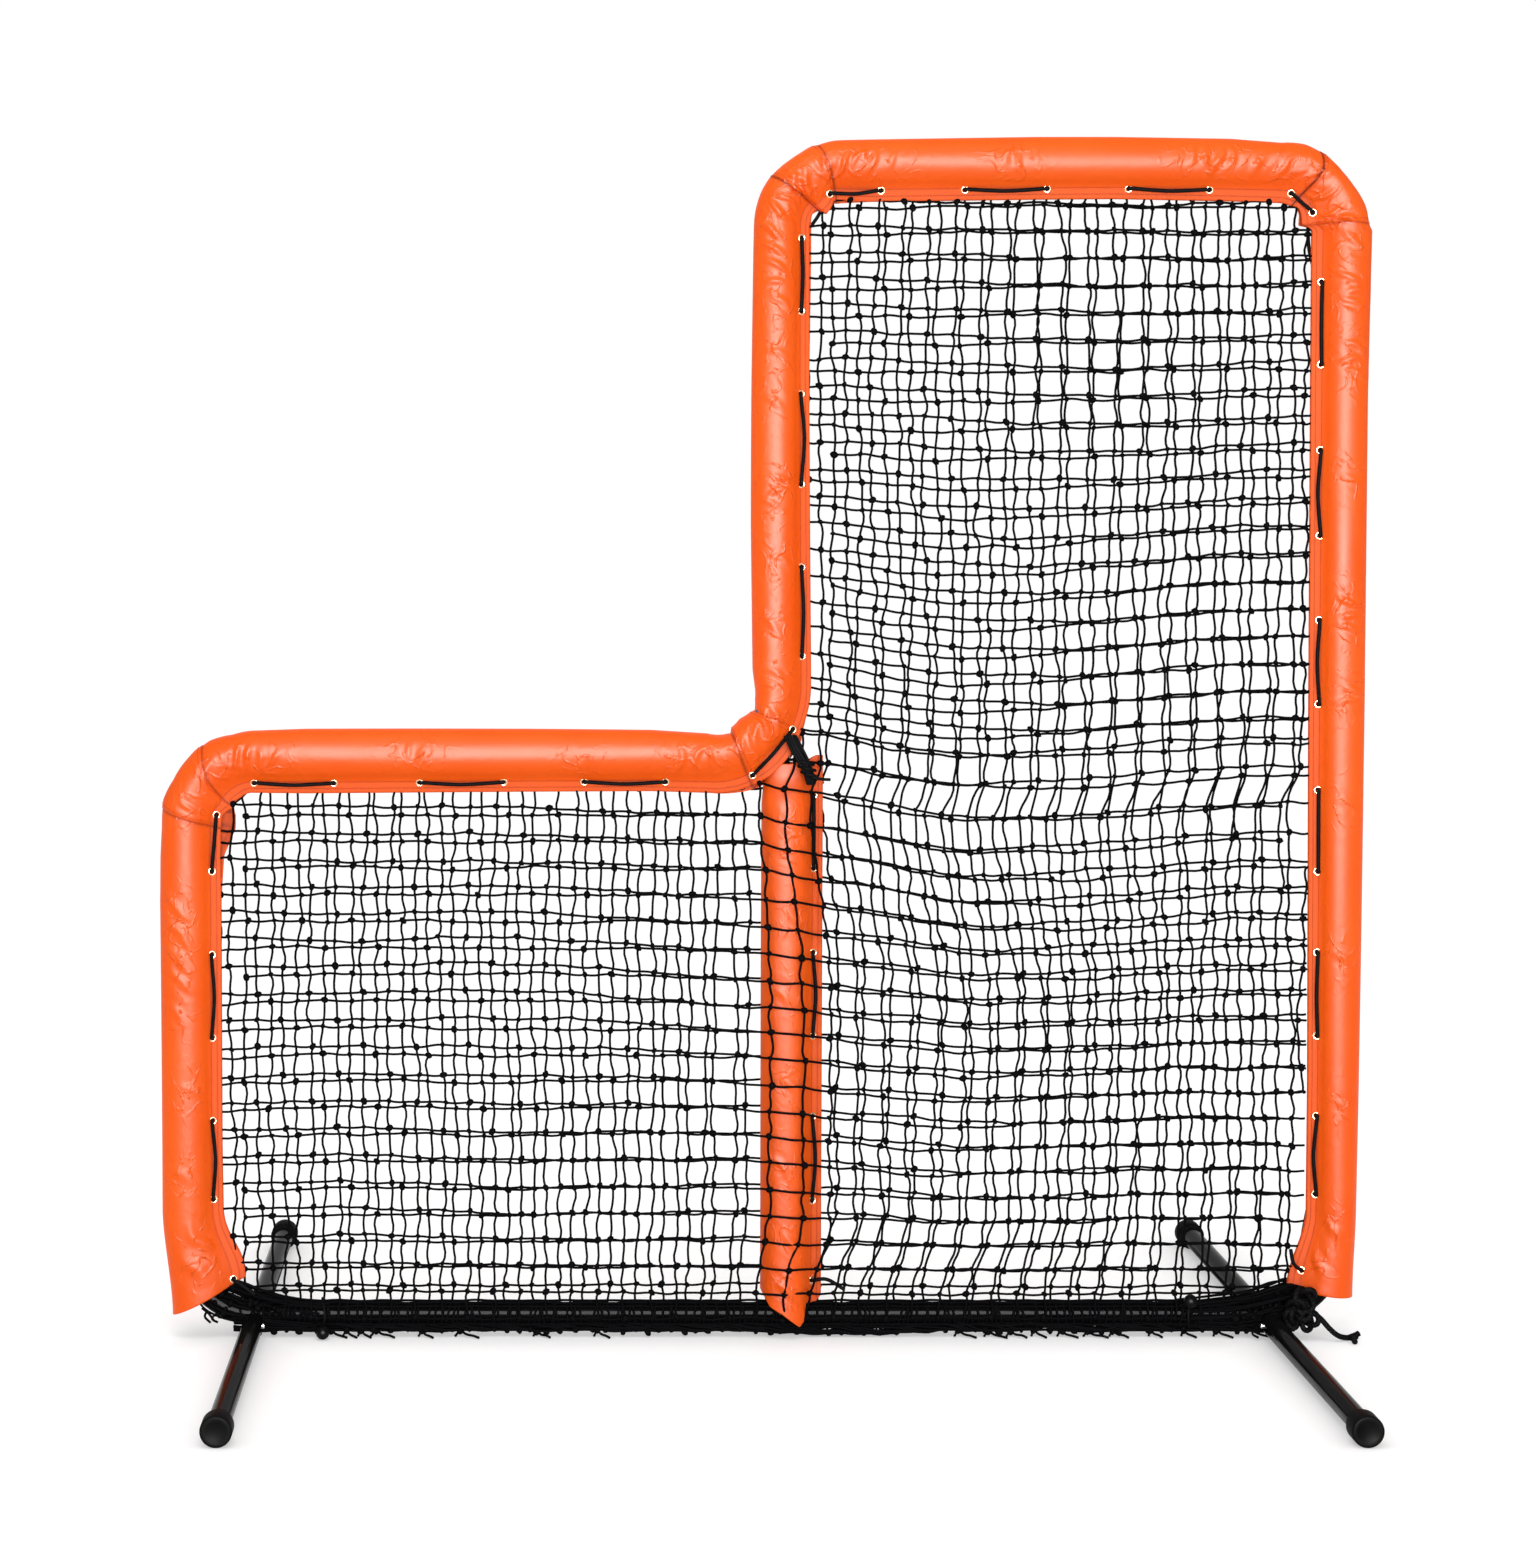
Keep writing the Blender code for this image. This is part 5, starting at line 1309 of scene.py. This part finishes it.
# Laces: braided black cord in one running stitch through the eyelets, to the front and the rear in turn.
# It draws both hems and the net's edge together, and its ends hang free beside the bottom corners.
LACE_OD = 0.0068
LACE_OFF = 0.0012 + LACE_OD / 2
lace_finish = cord_finish("lace_finish", (0.006, 0.006, 0.007), 0.60, 1500, 4, 0.0005, 0.02)


def stitched(eyelets, side):
    """Return the lace's points through the eyelets, starting on the given side."""
    points = []
    for index, (place, gap, along, to_net) in enumerate(eyelets):
        off = gap + LACE_OFF
        back = (eyelets[index - 1][0] - place).normalized() if index else -along
        ahead = (eyelets[index + 1][0] - place).normalized() if index + 1 < len(eyelets) else along
        if index:
            points.append(place + back * 0.007 + side * off)
        points.append(place + ahead * 0.0005 + side * (off - 0.0014))
        side = -side
        points.append(place + back * 0.0005 + side * (off - 0.0014))
        if index + 1 < len(eyelets):
            points.append(place + ahead * 0.007 + side * off)
            span = eyelets[index + 1][0] - place
            sag = 0.0035 if abs(span.normalized().z) < 0.5 else 0.0
            middle = place + span / 2
            wide = (gap + eyelets[index + 1][1]) / 2 + LACE_OFF
            over = 0.0150 * (1 - wave(0.015, 0.050, (middle - Vector((CENTRE_X, 0, LOW_Z - 0.01))).length))
            bow = to_net * (0.0028 + 0.0028 * math.sin(index * 2.3)) if sag == 0 else Vector()
            points.append(middle + side * (wide + 0.0006 + over) + DOWN * sag + bow)
    return points


def laced(name, eyelets, start, end):
    """Make a lace through a row of eyelets, with tails that go on to places given from its two ends."""
    path = stitched(eyelets, FRONT)
    path = [path[0] + Vector(far) for far in start] + path + [path[-1] + Vector(far) for far in end]
    declare(cord_piece(name + "_cord", [smooth_line(path, 0.003)], LACE_OD, lace_finish), "black_cord", name)


laced("outer_lace", outer_eyelets, ((0.040, -0.008, -0.026), (0.014, -0.005, -0.008)),
      ((-0.016, -0.004, 0.014), (-0.022, -0.005, 0.040)))
laced("centre_lace", centre_eyelets, ((0.058, -0.010, -0.014), (0.026, -0.008, 0.004)),
      ((0.004, -0.004, 0.016), (0.020, -0.004, 0.024)))

# Net: knotted 4.5 mm twine in 47 mm squares, a pillow case of two layers, each with an upper and a lower
# part sewn together. The edges go between the hems, and the mouth is drawn down over the bottom rail.
TWINE_OD = 0.0045
KNOT_R = 0.0054
MESH_PITCH = 0.0476
twine_finish = cord_finish("twine_finish", (0.004, 0.004, 0.005), 0.70, 2600, 3, 0.0004, 0.01)


def clear_of_frame(x, z):
    """Return how far a place is from the padded tubes' axes, towards the net."""
    centre = (TALL_X - BEND, LOW_Z + BEND)
    if z >= centre[1]:
        inner = x - TALL_X
    elif x <= centre[0]:
        inner = LOW_Z - z
    else:
        inner = math.hypot(x - centre[0], z - centre[1]) - BEND
    reach = min(inner, x - LEFT_X, TOP_Z - z, RIGHT_X - x)
    rounds = ((LEFT_X + BEND, LOW_Z - BEND, -1, 1), (TALL_X + BEND, TOP_Z - BEND, -1, 1),
              (RIGHT_X - BEND, TOP_Z - BEND, 1, 1))
    for x0, z0, right, up in rounds:
        if (x - x0) * right > 0 and (z - z0) * up > 0 and reach < BEND:
            if abs(x - x0) < BEND * 1.2 and abs(z - z0) < BEND * 1.2:
                reach = min(reach, BEND - math.hypot(x - x0, z - z0))
    return reach


HEM_CLEAR = FLAP_REACH
NET_END = 0.0560


def net_off(x, z):
    """Return how far a net layer stands off the middle plane."""
    hem = max(0.0015, clear_of_frame(x, z) - HEM_CLEAR)
    post = abs(x - CENTRE_X) if z < LOW_Z - 0.03 else math.hypot(x - CENTRE_X, z - LOW_Z + 0.03)
    post = max(0.0015, post - 0.006)
    rail = max(0.0015, z - RAIL_Z - 0.004)
    total = 0.0018 / hem + 0.0462 / post + (TUBE_R + 0.0026) / rail + 0.014 / 0.45
    off = total / (1 / hem + 1 / post + 1 / rail + 1 / 0.45)
    tucked = wave(0.088, 0.112, z) * (1 - wave(0.19, 0.25, z))
    tucked *= max(1 - wave(-0.950, -0.925, x), wave(0.950, 0.972, x))
    return off + (min(off, 0.0025) - off) * tucked


SEAM_Z = 1.062
LOWER_ROWS = 21
UPPER_ROWS = 23
COLUMNS = 46


def sagged(x, z, layer):
    """Return where the slack of the net moves a knot to."""
    below = 1 - wave(SEAM_Z - 0.02, 2.02, z)
    low = min(1.0, max(0.0, (z - RAIL_Z) / 0.90))
    drop = 0.050 * wave(TALL_X + 0.01, TALL_X + 0.36, x) * (1 - 0.45 * wave(0.45, 0.95, x)) * below * low
    drop += 0.018 * wave(CENTRE_X - 0.05, CENTRE_X + 0.06, x) * (1 - wave(0.95, 1.12, z)) * low
    if layer:
        drop -= 0.014 * wave(0.35, 1.0, x) * low * (1 - wave(1.5, 2.1, z))
    else:
        drop += 0.020 * wave(-0.55, CENTRE_X, x) * low * (1 - wave(0.98, 1.10, z))
    slow = Vector((x * 2.3, layer * 9.7, z * 2.3))
    dx = 0.013 * noise.noise(slow) + 0.006 * noise.noise(slow * 4.1)
    dz = 0.013 * noise.noise(slow + Vector((31, 0, 7))) + 0.005 * noise.noise(slow * 4.3 + Vector((5, 0, 3)))
    lean = 0.040 * (1 - wave(0.66, SEAM_Z, z))
    lean *= wave(TALL_X - 0.12, TALL_X + 0.04, x) * (1 - wave(0.40, 0.95, x))
    inside = wave(0.03, 0.20, z - RAIL_Z)
    return x + (dx + lean) * inside, z - drop + dz * inside


net_places = []
for layer in (0, 1):
    dice = np.random.RandomState(41 + layer)
    places = {}
    for i in range(-1, COLUMNS):
        for j in range(-1, LOWER_ROWS + UPPER_ROWS + 2):
            x = LEFT_X + 0.0700 + (i + 0.30 + 0.47 * layer) * MESH_PITCH
            if j < LOWER_ROWS:
                z = RAIL_Z - 0.008 + (j + 0.10) * (SEAM_Z - 0.040 - RAIL_Z + 0.008) / (LOWER_ROWS - 0.9)
            else:
                z = SEAM_Z + (j - LOWER_ROWS) * MESH_PITCH
                x += 0.40 * MESH_PITCH
            z -= 0.34 * MESH_PITCH * layer if LOWER_ROWS > j > 1 or j > LOWER_ROWS + 1 else 0.0
            x, z = sagged(x, z, layer)
            x += dice.uniform(-0.0020, 0.0020)
            z += dice.uniform(-0.0016, 0.0016)
            places[i, j] = (x, z, clear_of_frame(x, z))
    net_places.append(places)


def net_lines(layer, part):
    """Return a net part's points, edges, knot marks and spins."""
    side = FRONT if layer == 0 else REAR
    dice = np.random.RandomState(60 + layer * 10 + part)
    places = net_places[layer]
    rows = range(0, LOWER_ROWS) if part == 0 else range(LOWER_ROWS, LOWER_ROWS + UPPER_ROWS + 2)
    verts, edges, knots, spins = [], [], [], []
    index_of = {}

    def add(x, z, knot, off_more=0.0):
        verts.append(Vector((x, 0, z)) + side * (net_off(x, z) + off_more))
        knots.append(knot)
        spins.append(dice.uniform(0, 6.28))
        return len(verts) - 1

    for key, (x, z, clear) in places.items():
        if clear > NET_END + 0.004 and key[1] in rows:
            size = 1.0 + 0.16 * (1 if (key[0] + key[1]) % 2 else -1) + dice.uniform(-0.08, 0.08)
            index_of[key] = add(x, z, size if clear > HEM_CLEAR - 0.006 else 0.0)
    for key in sorted(index_of):
        i, j = key
        for di, dj in ((1, 0), (0, 1), (-1, 0), (0, -1)):
            other = (i + di, j + dj)
            if other not in places or (other in index_of and (di < 0 or dj < 0)):
                continue
            if (other[1] < 0 and dj) or (part == 1 and j == LOWER_ROWS and dj < 0):
                continue
            x0, z0, _ = places[key]
            x1, z1, clear_1 = places[other]
            to_seam = part == 0 and other[1] == LOWER_ROWS and clear_1 > NET_END
            cut_short = other not in index_of and not to_seam
            if cut_short:
                if clear_1 > NET_END:
                    continue
                low, high = 0.0, 1.0
                for _ in range(18):
                    middle = (low + high) / 2
                    clear = clear_of_frame(x0 + (x1 - x0) * middle, z0 + (z1 - z0) * middle)
                    low, high = (middle, high) if clear > NET_END else (low, middle)
                x1, z1 = x0 + (x1 - x0) * low, z0 + (z1 - z0) * low
            bow = dice.uniform(-0.0044, 0.0044) if dj else dice.uniform(-0.0016, 0.0016)
            curl = dice.uniform(-0.0022, 0.0022) if dj else dice.uniform(-0.0010, 0.0010)
            lean = dice.uniform(-0.0015, 0.0015)
            before = index_of[key]
            for part_way in range(1, 5):
                t = part_way / 5
                off = bow * math.sin(math.pi * t) + curl * math.sin(2 * math.pi * t)
                x = x0 + (x1 - x0) * t + (off if dj else 0)
                z = z0 + (z1 - z0) * t + (0 if dj else off - 0.0008 * math.sin(math.pi * t))
                now = add(x, z, 0.0, lean * math.sin(math.pi * t) if clear_of_frame(x, z) > 0.08 else 0)
                edges.append((before, now))
                before = now
            last = add(x1, z1, 0.0) if other not in index_of else index_of[other]
            edges.append((before, last))
    return verts, edges, knots, spins


net_tree, given, painted = new_shape_tree("net", Radius="Float", Sides="Int", Knot="Float")
size, spin = [new_node(net_tree, "GeometryNodeInputNamedAttribute", {"Name": name}, data_type="FLOAT")
              for name in ("knot", "spin")]
picked = new_node(net_tree, "FunctionNodeCompare", {0: size, 1: 0.2}, data_type="FLOAT",
                  operation="GREATER_THAN")
spots = new_node(net_tree, "GeometryNodeMeshToPoints", {"Mesh": given["Geometry"], "Selection": picked})
ball = new_node(net_tree, "GeometryNodeMeshIcoSphere", {"Radius": given["Knot"], "Subdivisions": 2})
lumps = new_node(net_tree, "ShaderNodeTexNoise", {"Scale": 260.0, "Detail": 1.0})
height = new_node(net_tree, "ShaderNodeMapRange", {"Value": lumps, "To Min": -0.0016, "To Max": 0.0020})
push = new_node(net_tree, "ShaderNodeVectorMath", {
    0: new_node(net_tree, "GeometryNodeInputNormal"), "Scale": height}, operation="SCALE")
tied = new_node(net_tree, "GeometryNodeInstanceOnPoints", {
    "Points": spots,
    "Instance": new_node(net_tree, "GeometryNodeSetPosition", {"Geometry": ball, "Offset": push}),
    "Rotation": new_node(net_tree, "ShaderNodeCombineXYZ", {
        "X": calc(net_tree, "MULTIPLY", spin, 2.7), "Y": spin}),
    "Scale": new_node(net_tree, "ShaderNodeVectorMath", {0: (1.12, 0.85, 0.95), "Scale": size},
                      operation="SCALE")})
together = new_node(net_tree, "GeometryNodeJoinGeometry", {
    0: new_node(net_tree, "GeometryNodeRealizeInstances", {0: tied})})
give(together, {0: add_tube_nodes(net_tree, given)})
give(painted, {"Geometry": together})


def twine_piece(name, lines, knots, spins, sides, *nodes):
    """Make twine along a mesh's lines, with a knot at each point that is marked with a knot's size."""
    mark(lines, "knot", knots)
    mark(lines, "spin", spins)
    piece = grown(name, lines, net_tree, Radius=TWINE_OD / 2, Sides=sides, Knot=KNOT_R, Material=twine_finish)
    piece.data.shade_smooth()
    declare(piece, "black_twine", *nodes)


for layer, layer_name in enumerate(("front", "rear")):
    for part, part_name in enumerate(("lower", "upper")):
        name = f"{layer_name}_{part_name}_net"
        verts, edges, knots, spins = net_lines(layer, part)
        twine_piece(name + "_twine", mesh_of(name, verts, [], edges), knots, spins, 5, name)

# Mouth of the net: the pillow case's open edge is pulled down over the bottom rail, where its last rows
# lie bunched under the tube. Cut ends of the twine stand out of the roll as a short fringe.
dice = np.random.RandomState(7)


def rough(*place):
    """Return a smooth uneven value, from -1 to 1, that is always the same at the same place."""
    return noise.noise(Vector(place))


def roll_centre(x):
    """Return how far in front and how high the middle of the bunched rows lies below the rail."""
    low = 0.0062 * wave(-0.05, 0.10, x) * (1 - wave(0.20, 0.34, x)) + 0.002 * rough(x * 9, 3, 1)
    return -0.0105 + 0.0030 * rough(x * 6, 0, 5), 0.0175 - low + 0.0022 * rough(x * 21, 8, 2)


roll_lines = []
for strand in range(13):
    start_turn = 2 * math.pi * strand / 13
    line = []
    for x in np.arange(LEFT_X + 0.085, RIGHT_X - 0.075, 0.0075):
        front, high = roll_centre(x)
        turn = start_turn + x * 16 + 1.5 * rough(x * 11, strand, 0)
        wide = 0.0070 + 0.0022 * rough(x * 25, strand * 3.3, 4)
        line.append((x, front + wide * 1.25 * math.cos(turn), max(0.0036, high + wide * math.sin(turn))))
    roll_lines.append(smooth_line(line, 0.0045))
for strand, (front, high) in enumerate((
        (-0.0150, 0.0165), (-0.0090, 0.0215), (0.0010, 0.0225), (-0.0040, -0.0215), (-0.0120, -0.0190),
        (-0.0100, -0.0235), (-0.0160, -0.0160))):
    line = []
    for x in np.arange(LEFT_X + 0.110, RIGHT_X - 0.100, 0.012):
        line.append((x, front + 0.0015 * rough(x * 30, strand, 9),
                     RAIL_Z + high + 0.0020 * rough(x * 24, strand, 11)))
    roll_lines.append(smooth_line(line, 0.006))
ROUND_RAIL = TUBE_R + 0.0026
x = LEFT_X + 0.105
while x < RIGHT_X - 0.09:
    lean = dice.uniform(-0.012, 0.014)
    turns = [math.radians(turn) for turn in (62, 30, 0, -30, -62)]
    line = [(x + lean * (1 - step / 4), -ROUND_RAIL * math.cos(turn), RAIL_Z + ROUND_RAIL * math.sin(turn))
            for step, turn in enumerate(turns)]
    front, high = roll_centre(x)
    line.append((x + dice.uniform(-0.004, 0.004), front - 0.006, high))
    roll_lines.append(smooth_line(line, 0.004))
    x += dice.uniform(0.008, 0.016)

fringe_marks = [-0.7855, -0.758, -0.731, -0.7037, -0.62, -0.55, -0.41, -0.30, 0.3587, 0.4132, 0.4532, 0.4968,
                0.5458, 0.5948, 0.6403, 0.71, 0.77, 0.83]
ties = []
for x in fringe_marks:
    front, high = roll_centre(x)
    low = max(0.0075, high - 0.0085)
    ties.append((x, front - 0.004, low))
    reach = dice.uniform(0.018, 0.036)
    roll_lines.append(smooth_line([
        (x, front, low + 0.003), (x + reach * 0.3, front - 0.008, low * 0.65),
        (x + reach * 0.7, front - 0.014, 0.0035 + dice.uniform(0, 0.002)),
        (x + reach, front - 0.020, 0.0028)], 0.003))
    roll_lines.append(smooth_line([
        (x, front, low + 0.003), (x - reach * 0.15, front - 0.006, low * 0.6),
        (x - reach * 0.25, front - 0.010, 0.0030)], 0.003))
x = LEFT_X + 0.11
while x < RIGHT_X - 0.09:
    front, high = roll_centre(x)
    ties.append((x, front - dice.uniform(0.002, 0.008), max(0.0075, high - dice.uniform(0.003, 0.009))))
    x += dice.uniform(0.016, 0.034)


def corner_mass(tops, bottoms, count, depth):
    """Add strands that sweep from one row of places to another and fill the space between them."""
    for strand in range(count):
        share = strand / (count - 1)
        y = dice.uniform(-depth, depth * 0.6)
        line = []
        for top, bottom in zip(tops, bottoms):
            at = Vector((top[0], 0, top[1])).lerp(Vector((bottom[0], 0, bottom[1])), share)
            behind = wave(0.955, 1.010, abs(at.x)) * wave(0.060, 0.085, at.z)
            at += Vector((dice.uniform(-0.003, 0.003), y * (1 - behind) + dice.uniform(-0.003, 0.003),
                          dice.uniform(-0.002, 0.002)))
            line.append((at.x, at.y, max(0.004, at.z)))
        roll_lines.append(smooth_line(line, 0.005))


corner_mass(((-1.020, 0.122), (-0.985, 0.110), (-0.945, 0.095), (-0.900, 0.078), (-0.850, 0.066),
             (-0.790, 0.061)),
            ((-1.036, 0.090), (-1.020, 0.058), (-0.985, 0.038), (-0.940, 0.026), (-0.890, 0.020),
             (-0.830, 0.016)), 44, 0.024)
corner_mass(((0.760, 0.061), (0.830, 0.068), (0.890, 0.078), (0.935, 0.092), (0.960, 0.099), (0.985, 0.094),
             (1.004, 0.080)),
            ((0.800, 0.016), (0.870, 0.014), (0.910, 0.018), (0.940, 0.022), (0.965, 0.020), (0.985, 0.024),
             (1.000, 0.040)), 56, 0.026)
for ends in (((-1.020, -0.020, 0.054), (-1.008, -0.024, 0.046), (-0.998, -0.027, 0.034)),
             ((-1.010, -0.022, 0.050), (-1.014, -0.026, 0.040), (-1.003, -0.030, 0.030)),
             ((-0.995, -0.022, 0.044), (-1.001, -0.026, 0.036), (-0.990, -0.028, 0.030)),
             ((0.880, -0.026, 0.020), (0.905, -0.034, 0.010), (0.928, -0.040, 0.006)),
             ((0.900, -0.028, 0.022), (0.890, -0.036, 0.012), (0.900, -0.042, 0.006))):
    roll_lines.append(smooth_line(ends, 0.003))
for _ in range(46):
    side = dice.randint(2)
    share = dice.uniform(0, 1)
    if side:
        ties.append((0.80 + 0.19 * share, -0.020 - dice.uniform(0, 0.008),
                     0.030 + 0.050 * share * dice.uniform(0.2, 1.1)))
    else:
        ties.append((-1.01 + 0.20 * share, -0.018 - dice.uniform(0, 0.008),
                     0.036 + 0.055 * (1 - share) * dice.uniform(0.1, 1.0)))

roll = lines_mesh("mouth_roll", roll_lines + [[Vector(tie)] for tie in ties])
knots = [0.0] * (len(roll.vertices) - len(ties)) + [float(dice.uniform(0.85, 1.25)) for _ in ties]
twine_piece("mouth_roll", roll, knots, dice.uniform(0, 6.28, len(roll.vertices)), 6)

# Tie at the notch: the middle lace starts in a tight bundle of turns round both hems and the middle post.
bundle_lines = []
for strand in range(13):
    a, b = dice.uniform(-0.010, 0.010), dice.uniform(-0.006, 0.005)
    bundle_lines.append(smooth_line([
        (0.048 + a, -0.024 + b, 1.100), (0.058 + a, -0.033 + b, 1.080 + b), (0.070 + a, -0.034 + b, 1.056),
        (0.080 + a * 0.8, -0.031 + b, 1.034), (0.086 + a * 0.6, -0.024 + b, 1.012)], 0.003))
bundle_lines.append(smooth_line([
    (0.074, -0.036, 1.040), (0.088, -0.040, 1.026), (0.104, -0.040, 1.0225), (0.119, -0.038, 1.0215)], 0.003))
for turn in range(3):
    z = 1.052 - 0.011 * turn
    bundle_lines.append(smooth_line([
        (0.058 + 0.005 * turn, -0.026, z + 0.004), (0.066 + 0.005 * turn, -0.040, z + 0.002),
        (0.080 + 0.004 * turn, -0.041, z - 0.001), (0.090 + 0.003 * turn, -0.028, z - 0.004)], 0.003))
notch_tie = cord_piece("notch_tie", bundle_lines, LACE_OD * 0.85, lace_finish, 8)
declare(notch_tie, "black_cord")

# Ball bungees: an elastic loop goes round the rail and the net's edge, and its ball stops it in front.
bungee_finish = cord_finish("bungee_finish", (0.006, 0.006, 0.007), 0.60, 2200, 4, 0.0003, 0.02)
ball_plastic = paint("ball_plastic", 0.04, 70.0, 0.3, 0.8,
                     ((0.004, 0.004, 0.004), (0.008, 0.008, 0.008)), (0.28, 0.42))
ELASTIC_OD = 0.0045
for name in ("left_bungee", "right_bungee"):
    low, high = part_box(name + "_ball")
    centre, radius = (low + high) / 2, (high.x - low.x) / 2
    loop_low, loop_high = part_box(name + "_loop")
    middle = Vector(((loop_low.x + loop_high.x) / 2, 0, RAIL_Z))
    towards = (centre - middle).normalized()
    beside = towards.cross(RIGHT)
    loop_r = (loop_high.z - loop_low.z) / 2 - ELASTIC_OD / 2
    turns = [2 * math.pi * step / 40 for step in range(41)]
    ring = [middle + RIGHT * 0.003 * math.sin(turn * 2)
            + loop_r * (towards * math.cos(turn) + beside * math.sin(turn)) for turn in turns]
    profile = [(-radius, 0)] + [(-radius * math.cos(turn), radius * math.sin(turn))
                                for turn in [math.pi * step / 24 for step in range(1, 24)]]
    profile += [(radius * 0.995, 0.003), (radius * 0.80, 0.0026), (radius * 0.80, 0)]
    declare(cord_piece(name + "_elastic", [ring], ELASTIC_OD, bungee_finish), "black_cord", name + "_loop")
    ball = turned(name + "_ball_moulding", centre, towards, RIGHT, profile, 32, ball_plastic)
    declare(ball, "black_plastic", name + "_ball")

low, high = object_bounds()
